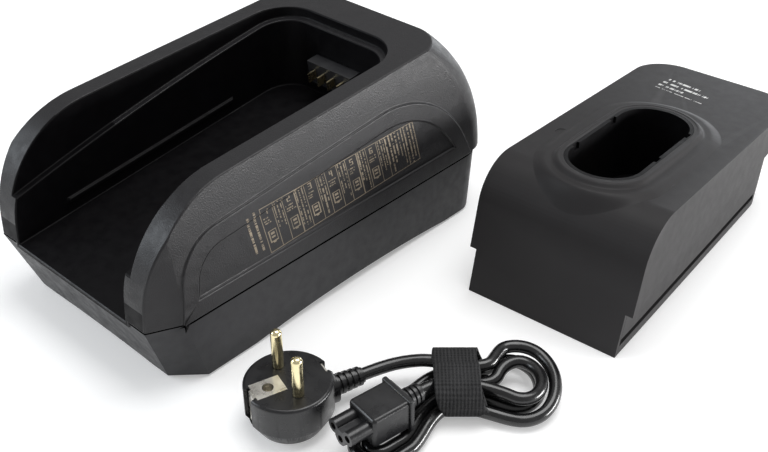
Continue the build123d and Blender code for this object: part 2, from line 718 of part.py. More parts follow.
def electronics():
    """Every board-mounted part by name."""
    can, places = OUTPUT_CAPACITOR
    return {
        "fuse": fuse(),
        "emi_capacitor": on_board(EMI_CAPACITOR),
        "emi_choke": coil_on_board(EMI_CHOKE),
        "bridge_rectifier": on_board(BRIDGE_RECTIFIER),
        "bulk_capacitor": on_board(BULK_CAPACITOR),
        "transformer_core": transformer_core(),
        "transformer_winding": transformer_winding(),
        "heatsink": heatsink(),
        "power_transistors": power_transistors(),
        "output_capacitors": [on_board((can, place)) for place in places],
        "output_choke": coil_on_board(OUTPUT_CHOKE),
        "controller_chip": on_board(CONTROLLER_CHIP),
    }


def lamps():
    """Lamp board behind the far side wall and the two lamps that show through it."""
    face = lamp_board_face()
    board = Pos(face + LAMP_BOARD[0] / 2, LAMP_Y, LAMP_HEIGHT) * Box(*LAMP_BOARD)
    reach = face + HALF - LAMP_SUNK
    bodies = []
    for y in lamp_places():
        stem = Rot(0, -90, 0) * post(LAMP_DIAMETER, reach, (0, 0, 0))
        dome = Pos(-reach, 0, 0) * Sphere(LAMP_DIAMETER / 2)
        bodies.append(Pos(face, y, LAMP_HEIGHT) * (stem + dome))
    return board, bodies


def cradle():
    """Every node of the cradle."""
    parts = {"upper_housing": upper_housing(), "lower_housing": lower_housing()}
    parts["rubber_feet"] = [post(FOOT_DIAMETER, FOOT_HEIGHT, (x, y, 0)) for x, y in foot_places()]
    seat = INNER_FLOOR + SCREW_SEAT_LIFT
    tip = PARTING_HEIGHT + BOSS_HEIGHT - SCREW_HOLE_END - SCREW_TIP_GAP
    parts["case_screws"] = [
        screw(place, seat - SCREW_HEAD_HEIGHT, SCREW_HEAD_HEIGHT, tip - seat)
        for place in mirrored(CASE_BOSSES)
    ]
    parts["circuit_board"] = circuit_board()
    parts["board_screws"] = board_screws()
    parts["mains_inlet"] = mains_inlet()
    parts["inlet_pins"] = inlet_pins()
    parts.update(electronics())
    blades = contact_blades()
    parts["contact_block"] = contact_block_solid(0) + contact_shoulder() - blades
    parts["contact_blades"] = blades
    parts["lamp_board"], (parts["red_lamp"], parts["green_lamp"]) = lamps()
    return parts


# ---------------------------------------------------------------- battery adapter, as docked
def adapter_profile(inset):
    """Everything inside the adapter's sloping front and top plate, drawn in by an inset."""
    return below_rim(inset - ADAPTER_PROUD, inset, ADAPTER_BEND_RADIUS - inset)


def adapter_lower_plan(inset):
    """Plan of the adapter's lower body, which runs inside the trough's narrow part."""
    return trough_plan(-LEDGE_WIDTH - ADAPTER_GAP - inset)


def plate_frame():
    """The middle of the battery opening on the adapter's top plate, square to the plate."""
    return Pos(0, WELL_Y, rim_height(WELL_Y) + ADAPTER_PROUD) * Rot(PLATE_ANGLE, 0, 0)


def plate_oval(margin, low, high):
    """An oval block square to the top plate, round the battery opening, between two levels."""
    oval = SlotOverall(WELL_LENGTH + 2 * margin, WELL_WIDTH + 2 * margin, rotation=90)
    return plate_frame() * Pos(0, 0, low) * extrude(oval, high - low)


def adapter_boss_split(y):
    """Height where the tub's screw bosses meet those of the adapter's top."""
    return floor_height(y) + ADAPTER_FLOOR_GAP + BOSS_HEIGHT


def adapter_top():
    """Top plate and curved front in one moulding, with the stepped collar and four bosses."""
    flange_plan = trough_plan(-ADAPTER_GAP) & above_ledge(2 * FIT)
    plinth = plate_oval(COLLAR_STEP_MARGIN, -PLINTH_DEPTH, COLLAR_STEP_HEIGHT)
    plinth = plinth + plate_oval(COLLAR_MARGIN, -PLINTH_DEPTH, COLLAR_HEIGHT)
    hollow = plate_oval(COLLAR_STEP_MARGIN - ADAPTER_WALL, -REACH / 2, -ADAPTER_WALL)
    hollow = trough_plan(-ADAPTER_GAP - ADAPTER_WALL) & (adapter_profile(ADAPTER_WALL) + hollow)
    front = adapter_profile(0) - adapter_profile(ADAPTER_WALL)
    near_front = box((REACH, REACH, REACH), (0, FRONT + ADAPTER_WALL + SKIRT_REACH - REACH / 2, 0))
    skirt = adapter_lower_plan(0) & above_floor(ADAPTER_FLOOR_GAP) & front & near_front
    shell = (flange_plan & (adapter_profile(0) + plinth)) - hollow + skirt
    for x, y in mirrored(ADAPTER_BOSSES):
        base = adapter_boss_split(y)
        boss = post(BOSS_DIAMETER, REACH, (x, y, base)) & adapter_profile(ADAPTER_WALL / 2)
        shell = shell + boss - post(SCREW_DIAMETER, BOSS_HEIGHT, (x, y, base))
    return shell - plate_oval(WELL_WALL + FIT, -WELL_DEPTH, COLLAR_HEIGHT + 1)


def adapter_tub():
    """Lower body with a groove along each side, a rear recess and four screw bosses."""
    inside_front = adapter_profile(ADAPTER_WALL + FIT)
    outside = adapter_lower_plan(0) & above_floor(ADAPTER_FLOOR_GAP) & inside_front
    outside = outside - above_ledge(FIT)
    hollow = adapter_lower_plan(ADAPTER_WALL + GROOVE_DEPTH) & above_floor(ADAPTER_FLOOR_GAP + ADAPTER_WALL)
    shell = outside - (hollow & adapter_profile(2 * ADAPTER_WALL + FIT))
    margin = ADAPTER_GAP
    lane = (-REACH, TROUGH_BACK - TROUGH_CORNER_RADIUS)
    groove = floor_slab(RAIL_LIFT - margin, RAIL_LIFT + RAIL_HEIGHT + margin, lane)
    shell = shell - (groove - adapter_lower_plan(GROOVE_DEPTH))
    for x, y in mirrored(ADAPTER_BOSSES):
        low = floor_height(y) + ADAPTER_FLOOR_GAP
        boss = post(BOSS_DIAMETER, adapter_boss_split(y) - FIT - low - 1, (x, y, low + 1))
        upper_boss = post(BOSS_DIAMETER + 4 * FIT, REACH, (x, y, adapter_boss_split(y) - FIT))
        seat = post(SCREW_HEAD_DIAMETER + SCREW_HEAD_ROOM, SCREW_SEAT_LIFT + 1, (x, y, low - 1))
        shell = shell - upper_boss + boss - seat
        shell = shell - post(SCREW_DIAMETER + 2 * FIT, BOSS_HEIGHT + 2, (x, y, low))
    for x, y in adapter_board_posts():
        low = floor_height(y) + ADAPTER_FLOOR_GAP + ADAPTER_WALL - 1
        peg = post(STANDOFF_DIAMETER, BOSS_HEIGHT, (x, y, low))
        peg = peg - adapter_floor_frame() * above(adapter_board_level())
        shell = shell + peg
    return shell - contact_block_solid(ADAPTER_GAP)


def adapter_floor_frame():
    """The trough's front floor edge as an origin, turned to the floor's slope."""
    return Pos(0, FRONT, LIP_HEIGHT + ADAPTER_FLOOR_GAP) * Rot(FLOOR_ANGLE, 0, 0)


def adapter_board_level():
    """Underside of the adapter's board over the adapter's underside, just under the socket."""
    socket_middle = (CONTACT_BLOCK_LIFT - ADAPTER_FLOOR_GAP) * math.cos(math.radians(FLOOR_ANGLE))
    return socket_middle - SOCKET[2] / 2 - BOARD_THICKNESS


def adapter_board_posts():
    """Middles of the four posts under the adapter's board."""
    x, y = ADAPTER_BOARD[0] / 2 - ADAPTER_POST_INSET, ADAPTER_BOARD[1] / 2 - ADAPTER_POST_INSET
    return [(sx * x, ADAPTER_BOARD_Y + sy * y) for sx in (-1, 1) for sy in (-1, 1)]


def adapter_board():
    """Small board behind the battery well, parallel to the adapter's underside."""
    place = (0, ADAPTER_BOARD_Y - FRONT, adapter_board_level())
    return adapter_floor_frame() * box((*ADAPTER_BOARD, BOARD_THICKNESS), place)


def well_pin_places():
    """Lengthwise places of the three battery contacts in the well."""
    return {"positive": PIN_PITCH, "sense": 0.0, "negative": -PIN_PITCH}


def battery_well():
    """Oval cup that takes the battery's stem, hung from the top plate by a flange."""
    cup = plate_oval(WELL_WALL, -WELL_DEPTH - WELL_WALL, COLLAR_HEIGHT)
    flange = plate_oval(WELL_WALL + WELL_FLANGE, -FIT - ADAPTER_WALL - WELL_WALL, -FIT - ADAPTER_WALL)
    cup = cup + flange - plate_oval(0, -WELL_DEPTH, COLLAR_HEIGHT + 1)
    half = WELL_WIDTH / 2
    key_width, key_depth, key_bite = WELL_KEY
    for side, y in WELL_KEYS:
        key = Pos(side * half, y, COLLAR_HEIGHT) * Box(2 * key_bite, key_width, 2 * key_depth)
        cup = cup - plate_frame() * key
    for y in well_pin_places().values():
        hole = Cylinder(PIN_DIAMETER / 2 + PIN_CLEARANCE, 4 * WELL_WALL)
        cup = cup - plate_frame() * Pos(0, y, -WELL_DEPTH) * hole
    return cup


def contact_pin(y):
    """Sprung battery contact: domed tip, shoulder under the well's floor, and tail."""
    level = -WELL_DEPTH - WELL_WALL - PIN_SHOULDER_GAP
    shaft_height = PIN_TIP_HEIGHT + WELL_WALL + PIN_SHOULDER_GAP - PIN_DIAMETER / 2
    shaft = post(PIN_DIAMETER, shaft_height, (0, y, level))
    shaft = shaft + Pos(0, y, level + shaft_height) * Sphere(PIN_DIAMETER / 2)
    shoulder = post(PIN_SHOULDER_DIAMETER, PIN_SHOULDER, (0, y, level - PIN_SHOULDER))
    tail = post(PIN_TAIL_DIAMETER, PIN_TAIL, (0, y, level - PIN_SHOULDER - PIN_TAIL))
    return plate_frame() * (shaft + shoulder + tail)


def carrier_level():
    """Top of the contact carrier in the top plate's frame."""
    return -WELL_DEPTH - WELL_WALL - PIN_SHOULDER_GAP - PIN_SHOULDER - SPRING_LENGTH


def contact_spring(y):
    """Coil spring round a contact's tail, between its shoulder and the carrier."""
    height = SPRING_LENGTH - SPRING_WIRE - 2 * SPRING_END_GAP
    base = Pos(0, y, carrier_level() + SPRING_WIRE / 2 + SPRING_END_GAP)
    path = base * Helix(pitch=height / SPRING_TURNS, height=height, radius=SPRING_DIAMETER / 2)
    section = Plane(origin=path @ 0, z_dir=path % 0) * Circle(SPRING_WIRE / 2)
    return plate_frame() * sweep(section, path=path, is_frenet=True)


def contact_carrier():
    """Block on the tub's floor that guides the contacts' tails and seats their springs."""
    level = carrier_level()
    block = plate_frame() * box((*CARRIER, REACH), (0, 0, level - REACH))
    block = block & above_floor(ADAPTER_FLOOR_GAP + ADAPTER_WALL)
    for y in well_pin_places().values():
        hole = post(PIN_TAIL_DIAMETER + 2 * PIN_CLEARANCE, REACH, (0, y, level - REACH / 2))
        block = block - plate_frame() * hole
    return block


def adapter_socket():
    """Slotted socket behind the tub's rear recess, and the spring strips in its slots."""
    front = -CONTACT_BLOCK_PROUD - ADAPTER_GAP - ADAPTER_GAP / 2
    body = contact_frame() * Pos(0, front - SOCKET[1] / 2, 0) * Box(*SOCKET)
    strips = []
    slot_width, slot_depth, slot_height = SOCKET_SLOT
    for x in blade_places():
        slot = Pos(x, front - slot_depth / 2, 0) * Box(slot_width, slot_depth, slot_height)
        mouth = Pos(x, front, 0) * Box(slot_width, ADAPTER_GAP, slot_height)
        body = body - contact_frame() * (slot + mouth)
        edge = x + slot_width / 2 - SOCKET_CONTACT[0] / 2
        strips.append(contact_frame() * Pos(edge, front - SOCKET_CONTACT[1] / 2, 0) * Box(*SOCKET_CONTACT))
    return body, strips


def set_down(shape):
    """Move a docked adapter piece to where the adapter stands on the table."""
    shape = adapter_floor_frame().inverse() * shape
    return Pos(*ADAPTER_STAND, 0) * Rot(0, 0, ADAPTER_YAW) * shape


def adapter():
    """Every node of the battery adapter, standing beside the cradle."""
    parts = {"adapter_top": adapter_top(), "adapter_tub": adapter_tub()}
    parts["battery_well"] = battery_well()
    parts["contact_carrier"] = contact_carrier()
    for name, y in well_pin_places().items():
        parts["battery_contact_" + name] = contact_pin(y)
        parts["contact_spring_" + name] = contact_spring(y)
    parts["adapter_board"] = adapter_board()
    parts["adapter_socket"], parts["socket_contacts"] = adapter_socket()
    parts["adapter_screws"] = [
        screw(place, adapter_boss_split(place[1]) - BOSS_HEIGHT + SCREW_SEAT_LIFT - SCREW_HEAD_HEIGHT,
              SCREW_HEAD_HEIGHT, BOSS_HEIGHT - SCREW_SEAT_LIFT + ADAPTER_SCREW_GRIP)
        for place in mirrored(ADAPTER_BOSSES)
    ]
    return {
        name: [set_down(piece) for piece in shape] if isinstance(shape, list) else set_down(shape)
        for name, shape in parts.items()
    }


# ---------------------------------------------------------------- mains lead
def lead_frame(place, heading):
    """A spot on the table with its own X along a heading."""
    return Pos(*place, 0) * Rot(0, 0, heading)


def along(diameter, start, end, height):
    """A level cylinder along a lead frame's own X."""
    middle = (start + end) / 2
    return Pos(middle, 0, height) * Rot(0, 90, 0) * Cylinder(diameter / 2, end - start)


def relief(start, end, height, diameter, ribs):
    """A tapering ribbed sleeve along a lead frame's own X."""
    length = end - start
    core = Cone(diameter / 2 - RELIEF_RIB, (CABLE_DIAMETER + RELIEF_WALL) / 2, length)
    sleeve = Pos((start + end) / 2, 0, height) * Rot(0, 90, 0) * core
    pitch = length / ribs
    for index in range(ribs):
        shrink = index * (diameter - CABLE_DIAMETER - 2 * RELIEF_WALL) / ribs
        rib_start = start + pitch * index
        sleeve = sleeve + along(diameter - shrink, rib_start, rib_start + pitch * RELIEF_RIB_SHARE, height)
    return sleeve


def plug():
    """Every piece of the angled mains plug, lying on its back with its pins upright."""
    radius = PLUG_DIAMETER / 2
    bevel = Pos(0, 0, PLUG_BEVEL_HEIGHT / 2) * Cone(PLUG_BACK_DIAMETER / 2, radius, PLUG_BEVEL_HEIGHT)
    disc = post(PLUG_DIAMETER, PLUG_THICKNESS - PLUG_BEVEL_HEIGHT, (0, 0, PLUG_BEVEL_HEIGHT))
    disc = fillet(disc.edges().group_by(Axis.Z)[-1], PLUG_EDGE)
    body = bevel + disc + along(PLUG_OUTLET_DIAMETER, 0, PLUG_OUTLET_REACH, PLUG_OUTLET_HEIGHT)
    clip_depth, clip_width, clip_reveal = PLUG_CLIP
    slot_depth, slot_width, slot_height = PLUG_CLIP_SLOT
    clips = []
    over_outlet = PLUG_OUTLET_HEIGHT + PLUG_OUTLET_DIAMETER / 2 + clip_reveal
    for side, base in ((-1, PLUG_THICKNESS - slot_height), (1, over_outlet)):
        body = body - box((2 * slot_depth, slot_width, PLUG_THICKNESS), (side * radius, 0, base))
        size = (clip_depth, clip_width, PLUG_THICKNESS - base - clip_reveal)
        clips.append(box(size, (side * (radius - slot_depth + clip_depth / 2), 0, base)))
    pins = []
    for side in (-1, 1):
        y = side * PLUG_PIN_SPACING / 2
        shank = post(PLUG_PIN_DIAMETER, PLUG_PIN_LENGTH - PLUG_PIN_SHOULDER,
                     (0, y, PLUG_THICKNESS + PLUG_PIN_SHOULDER))
        shank = fillet(shank.edges().group_by(Axis.Z)[-1], PLUG_PIN_ROUNDING)
        root_base = PLUG_THICKNESS - PLUG_PIN_ROOT
        pins.append(shank + post(PLUG_PIN_NECK, PLUG_PIN_ROOT + 2 * PLUG_PIN_SHOULDER, (0, y, root_base)))
    length, width, thickness = PLUG_EARTH_PLATE
    plate = box(PLUG_EARTH_PLATE, (PLUG_EARTH_PLACE, 0, PLUG_THICKNESS - thickness))
    tube_base = PLUG_THICKNESS - PLUG_EARTH_DEPTH
    tube = post(PLUG_EARTH_TUBE, PLUG_EARTH_DEPTH, (PLUG_EARTH_PLACE, 0, tube_base))
    bore = post(PLUG_EARTH_BORE, PLUG_EARTH_DEPTH, (PLUG_EARTH_PLACE, 0, tube_base + PLUG_EARTH_FLOOR))
    earth = plate + tube
    sleeve = relief(PLUG_OUTLET_REACH, RELIEF_END, PLUG_OUTLET_HEIGHT, RELIEF_DIAMETER, RELIEF_RIBS)
    body = body - earth - pins
    frame = lead_frame(PLUG_PLACE, PLUG_HEADING)
    return {
        "plug_body": frame * body,
        "plug_pins": [frame * pin for pin in pins],
        "plug_earth_socket": frame * (earth - bore),
        "plug_earth_clips": [frame * clip for clip in clips],
        "plug_strain_relief": frame * sleeve,
    }


def strap_frame():
    """The strapped bundle's middle on the table, with X along the bundle."""
    return lead_frame(STRAP_PLACE, STRAP_HEADING)


def hank():
    """Outer shape of the coiled cable: strapped bundle, loops one side, flat folds the other."""
    start, end = BUNDLE_ENDS
    bottom = STRAP_THICKNESS + STRAP_GAP
    bundle = box((end - start, BUNDLE_WIDTH, BUNDLE_TOP - bottom), ((start + end) / 2, 0, bottom))
    loop = Ellipse(HANK_LOOP_SIZE[0] / 2, HANK_LOOP_SIZE[1] / 2)
    hole = Ellipse(HANK_LOOP_HOLE[0] / 2, HANK_LOOP_HOLE[1] / 2)
    loops = Pos(*HANK_LOOP_PLACE, TABLE_GAP) * extrude(loop - hole, HANK_LOOP_TOP - TABLE_GAP)
    middle = [(a + b) / 2 for a, b in zip(HANK_FOLD_START, HANK_FOLD_PLACE)]
    run = math.dist(HANK_FOLD_START, HANK_FOLD_PLACE)
    heading = math.degrees(math.atan2(HANK_FOLD_PLACE[1] - HANK_FOLD_START[1],
                                      HANK_FOLD_PLACE[0] - HANK_FOLD_START[0]))
    folds = SlotCenterToCenter(run, HANK_FOLD_WIDTH, rotation=heading)
    folds = Pos(*middle, TABLE_GAP) * extrude(folds, HANK_FOLD_TOP - TABLE_GAP)
    folds = folds - box((REACH, REACH, REACH), (start + 1 + REACH / 2, 0, 0))
    return strap_frame() * (bundle + loops + folds)


def cable_strap():
    """Hook-and-loop strap round the bundle."""
    inner_width = BUNDLE_WIDTH + 2 * STRAP_GAP
    outer_width = inner_width + 2 * STRAP_THICKNESS
    top = BUNDLE_TOP + STRAP_GAP
    outside = box((STRAP_WIDTH, outer_width, top + STRAP_THICKNESS), (0, 0, 0))
    outside = fillet(outside.edges().filter_by(Axis.X), STRAP_CORNER)
    inside = box((2 * STRAP_WIDTH, inner_width, top - STRAP_THICKNESS), (0, 0, STRAP_THICKNESS))
    return strap_frame() * (outside - fillet(inside.edges().filter_by(Axis.X), STRAP_INNER_CORNER))


def connector():
    """Every piece of the small appliance connector, resting on the folded strands."""
    body_length = CONNECTOR_BODY[0]
    nose_length = CONNECTOR_NOSE_LENGTH
    height = HANK_FOLD_TOP + CONNECTOR_REST_GAP + CONNECTOR_FLANGE[2] / 2
    body = Pos(nose_length + body_length / 2, 0, height) * Box(*CONNECTOR_BODY)
    body = fillet(body.edges(), CONNECTOR_EDGE)
    nose = None
    for y, z in CONNECTOR_BORE_PLACES:
        arm = Pos(0, y, z) * along(CONNECTOR_LOBE, 0, nose_length + CONNECTOR_EDGE, height)
        nose = arm if nose is None else nose + arm
    web = Box(nose_length + CONNECTOR_EDGE, *CONNECTOR_WEB)
    nose = nose + Pos((nose_length + CONNECTOR_EDGE) / 2, 0, height) * web
    flange_length = CONNECTOR_FLANGE[0]
    flange = Pos(nose_length + body_length - flange_length, 0, height) * Box(*CONNECTOR_FLANGE)
    body = body + nose + fillet(flange.edges(), CONNECTOR_FLANGE_EDGE)
    sleeves = []
    for y, z in CONNECTOR_BORE_PLACES:
        bore = Pos(0, y, z) * along(CONNECTOR_BORE, 0, CONNECTOR_BORE_DEPTH, height)
        body = body - bore
        inner = CONNECTOR_BORE - 2 * CONNECTOR_SLEEVE
        tube = along(CONNECTOR_BORE, CONNECTOR_SLEEVE_SETBACK, CONNECTOR_BORE_DEPTH, height)
        sleeves.append(Pos(0, y, z) * (tube - along(inner, 0, CONNECTOR_BORE_DEPTH - 1, height)))
    start = nose_length + body_length
    end = start + CONNECTOR_RELIEF_LENGTH
    sleeve = relief(start, end, height, RELIEF_DIAMETER, RELIEF_RIBS - 1)
    frame = lead_frame(CONNECTOR_NOSE_PLACE, CONNECTOR_HEADING)
    bundle_face = strap_frame() * box((REACH, REACH, REACH), (BUNDLE_ENDS[0] + REACH / 2, 0, 0))
    tail = frame * along(CABLE_DIAMETER, end, end + TAIL_REACH, height)
    return {
        "connector_body": frame * body,
        "connector_contacts": [frame * tube for tube in sleeves],
        "connector_strain_relief": frame * sleeve - bundle_face,
        "mains_cable_tail": tail - bundle_face,
    }


def cable_run():
    """The cable's free run as straight stretches joined by arcs, cut flush at both ends."""
    points = [Vector(*point) for point in RUN_ROUTE]
    radii = []
    for before, point, after in zip(points, points[1:], points[2:]):
        arriving, leaving = point - before, after - point
        half_turn = math.radians(arriving.get_angle(leaving)) / 2
        radii.append(BEND_SHARE * min(arriving.length, leaving.length) / math.tan(half_turn))
    print("cable run radii", [round(radius, 1) for radius in radii])
    path = FilletPolyline(*points, radius=radii)
    section = Plane(origin=path @ 0, z_dir=path % 0) * Circle(CABLE_DIAMETER / 2)
    tube = sweep(section, path=path)
    round_area = math.pi * CABLE_DIAMETER ** 2 / 4
    print("cable run volume over section times length", round(tube.volume / (round_area * path.length), 4))
    return tube


def lead():
    """Every node of the mains lead."""
    parts = plug()
    parts.update(connector())
    parts["mains_cable_hank"] = hank()
    parts["mains_cable_run"] = cable_run() - parts["plug_strain_relief"] - parts["mains_cable_hank"]
    parts["cable_strap"] = cable_strap()
    return parts


for name, shape in {**cradle(), **adapter(), **lead()}.items():
    whole = Compound(children=shape) if isinstance(shape, list) else shape
    export_step(whole, f"parts/{name}.step")
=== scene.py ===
import bpy
import json
import math
from contextlib import contextmanager
from mathutils import Matrix, Vector
from mathutils.bvhtree import BVHTree


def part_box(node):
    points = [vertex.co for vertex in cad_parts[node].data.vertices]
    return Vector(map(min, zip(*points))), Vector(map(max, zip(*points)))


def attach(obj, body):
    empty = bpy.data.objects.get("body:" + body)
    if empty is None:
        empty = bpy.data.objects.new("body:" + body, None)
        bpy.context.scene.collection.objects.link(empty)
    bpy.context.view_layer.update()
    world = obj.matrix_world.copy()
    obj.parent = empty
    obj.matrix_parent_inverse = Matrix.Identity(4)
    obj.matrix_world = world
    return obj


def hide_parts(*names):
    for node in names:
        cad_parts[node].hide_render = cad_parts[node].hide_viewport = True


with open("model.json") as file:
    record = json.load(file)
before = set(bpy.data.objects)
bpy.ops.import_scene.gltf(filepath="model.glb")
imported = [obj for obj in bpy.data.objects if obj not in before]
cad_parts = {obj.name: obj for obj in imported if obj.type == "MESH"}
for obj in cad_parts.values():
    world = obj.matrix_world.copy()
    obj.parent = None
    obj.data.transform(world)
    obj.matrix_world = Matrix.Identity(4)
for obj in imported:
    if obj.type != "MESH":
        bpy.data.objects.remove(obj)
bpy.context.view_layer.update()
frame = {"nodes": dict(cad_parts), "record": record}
nodes = frame["nodes"]
bpy.ops.object.select_all(action="DESELECT")

MM = 0.001

# ---------------------------------------------------------------- places shared with the solids, in mm
CRADLE_FRONT = -104.0
PARTING_HEIGHT = 34.4
PRINT_SIDE = 60.0
LIP_HEIGHT = 34.0
ADAPTER_LIFT = 1.0
FLOOR_SLOPE = math.atan(0.13)
RIM_SLOPE = math.atan(0.062)
FRONT_RIM_HEIGHT = 87.2
ADAPTER_PROUD = 12.5
WELL_Y = -41.0
WELL_LENGTH = 82.0
WELL_WIDTH = 34.5
COLLAR_MARGIN = 4.5
COLLAR_HEIGHT = 3.2
COLLAR_STEP_MARGIN = 10.0
COLLAR_STEP_HEIGHT = 1.2
ADAPTER_STAND = (143.3, 45.4)
ADAPTER_YAW = math.radians(4.3)
STRAP_PLACE = (148.2, -16.6)
STRAP_HEADING = math.radians(42.6)
CABLE_DIAMETER = 5.6
TROUGH_HALF_WIDTH = 43.3
TROUGH_BACK = 66.3
RIM_LEVEL = 70.0
# Sizes of the painted seam shade, in mm: the strip under the parting, the taller strip along the sides under
# the frame, and how far out the sides begin.
SEAM_WIDTH = 0.5
SEAM_UNDER_FRAME = 1.4
SEAM_REACH = 58.5
MERGE_WITHIN = 0.01
SOFT_CREASE = math.radians(50)


def turned(place, heading):
    """A frame on the table, with its own X along a heading."""
    return Matrix.Translation(Vector((*place, 0))) @ Matrix.Rotation(heading, 4, "Z")


ADAPTER_FLOOR = (Matrix.Translation((0, CRADLE_FRONT, LIP_HEIGHT + ADAPTER_LIFT))
                 @ Matrix.Rotation(FLOOR_SLOPE, 4, "X"))
DOCKED_TO_TABLE = turned(ADAPTER_STAND, ADAPTER_YAW) @ ADAPTER_FLOOR.inverted()
WELL_HEIGHT = FRONT_RIM_HEIGHT + math.tan(RIM_SLOPE) * (WELL_Y - CRADLE_FRONT) + ADAPTER_PROUD
TOP_PLATE = (DOCKED_TO_TABLE @ Matrix.Translation((0, WELL_Y, WELL_HEIGHT))
             @ Matrix.Rotation(RIM_SLOPE, 4, "X"))
BUNDLE = turned(STRAP_PLACE, STRAP_HEADING)


def at(where, x, y, z):
    """A point of one of the frames above, in metres."""
    return (where @ Vector((x, y, z))) * MM


# ---------------------------------------------------------------- camera, floor and lamps
def camera():
    """The camera that looks down over the open front of the cradle."""
    lens = bpy.data.cameras.new("camera")
    lens.lens = 51.54
    lens.sensor_width = 36
    lens.clip_start = 0.01
    lens.clip_end = 20
    view = bpy.data.objects.new("camera", lens)
    view.location = (0.35335, -0.28773, 0.32622)
    view.rotation_euler = (math.radians(54.92), 0, math.radians(42.61))
    bpy.context.scene.collection.objects.link(view)
    bpy.context.scene.camera = view


def lamp(name, place, aim, size, watts, colour=(1, 1, 1)):
    """A soft box, as wide and high as its size says, that points at a place on the object."""
    light = bpy.data.lights.new(name, "AREA")
    light.shape = "RECTANGLE"
    light.size, light.size_y = size
    light.energy = watts
    light.color = colour
    stand = bpy.data.objects.new(name, light)
    stand.location = place
    stand.rotation_euler = (Vector(aim) - Vector(place)).to_track_quat("-Z", "Y").to_euler()
    bpy.context.scene.collection.objects.link(stand)


# The floor's size and its drop under the object are in metres.
FLOOR_SIZE = 6
FLOOR_DROP = 0.0002
PAPER_WHITE = 0.82
PAPER_GLOW = 0.3
ROOM_LIGHT = 0.45
BACKDROP_WHITE = 1.0
COOL_WHITE = (0.86, 0.93, 1.0)
SOFT_WHITE = (0.92, 0.96, 1.0)


def studio():
    """A white floor under the object, a room that lights it evenly and shows white behind it, and four soft
    boxes.
    """
    bpy.ops.mesh.primitive_plane_add(size=FLOOR_SIZE, location=(0, 0, -FLOOR_DROP))
    floor = bpy.context.object
    floor.name = "floor"
    paper = bpy.data.materials.new("white_paper")
    paper.use_nodes = True
    tree = paper.node_tree
    tree.nodes.clear()
    out = tree.nodes.new("ShaderNodeOutputMaterial")
    matt = tree.nodes.new("ShaderNodeBsdfDiffuse")
    matt.inputs["Color"].default_value = (PAPER_WHITE, PAPER_WHITE, PAPER_WHITE, 1)
    glow = tree.nodes.new("ShaderNodeEmission")
    glow.inputs["Color"].default_value = (1, 1, 1, 1)
    glow.inputs["Strength"].default_value = PAPER_GLOW
    both = tree.nodes.new("ShaderNodeAddShader")
    pick = tree.nodes.new("ShaderNodeMixShader")
    path = tree.nodes.new("ShaderNodeLightPath")
    seen = tree.nodes.new("ShaderNodeMath")
    seen.operation = "MAXIMUM"
    tree.links.new(path.outputs["Is Camera Ray"], seen.inputs[0])
    tree.links.new(path.outputs["Is Glossy Ray"], seen.inputs[1])
    tree.links.new(matt.outputs[0], both.inputs[0])
    tree.links.new(glow.outputs[0], both.inputs[1])
    tree.links.new(seen.outputs[0], pick.inputs[0])
    tree.links.new(matt.outputs[0], pick.inputs[1])
    tree.links.new(both.outputs[0], pick.inputs[2])
    tree.links.new(pick.outputs[0], out.inputs["Surface"])
    floor.data.materials.append(paper)
    world = bpy.data.worlds.new("room")
    world.use_nodes = True
    sky = world.node_tree
    sky.nodes["Background"].inputs["Color"].default_value = (1, 1, 1, 1)
    view_ray = sky.nodes.new("ShaderNodeLightPath")
    level = sky.nodes.new("ShaderNodeMapRange")
    level.inputs["To Min"].default_value = ROOM_LIGHT
    level.inputs["To Max"].default_value = BACKDROP_WHITE
    sky.links.new(view_ray.outputs["Is Camera Ray"], level.inputs["Value"])
    sky.links.new(level.outputs["Result"], sky.nodes["Background"].inputs["Strength"])
    bpy.context.scene.world = world
    bpy.context.scene.view_settings.view_transform = "Standard"
    lamp("overhead_box", (0.12, 0.25, 1.0), (0.08, 0, 0.03), (0.7, 0.7), 7)
    lamp("left_box", (-0.75, -0.75, 0.55), (0, -0.05, 0.04), (0.6, 0.6), 5.5, COOL_WHITE)
    lamp("right_strip", (1.0, 0.66, 0.125), (0.055, -0.035, 0.085), (0.7, 0.19), 14)
    lamp("back_box", (-0.05, 1.25, 0.2), (0.05, 0.1, 0.08), (0.7, 0.3), 3, SOFT_WHITE)


camera()
studio()


# ---------------------------------------------------------------- finishes
# Patches of colour and of gloss are sized in mm. Noise is read between the two ends of its span.
BLOTCH_SIZE = 14
GLOSS_PATCH = 5
NOISE_SPAN = (0.3, 0.7)
WORN_EDGE = (0.52, 0.62)
WORN_GAIN, WORN_LIFT = 2.4, 0.03
COAT_ROUGHNESS = 0.12
THREAD_WAVER = 1.2


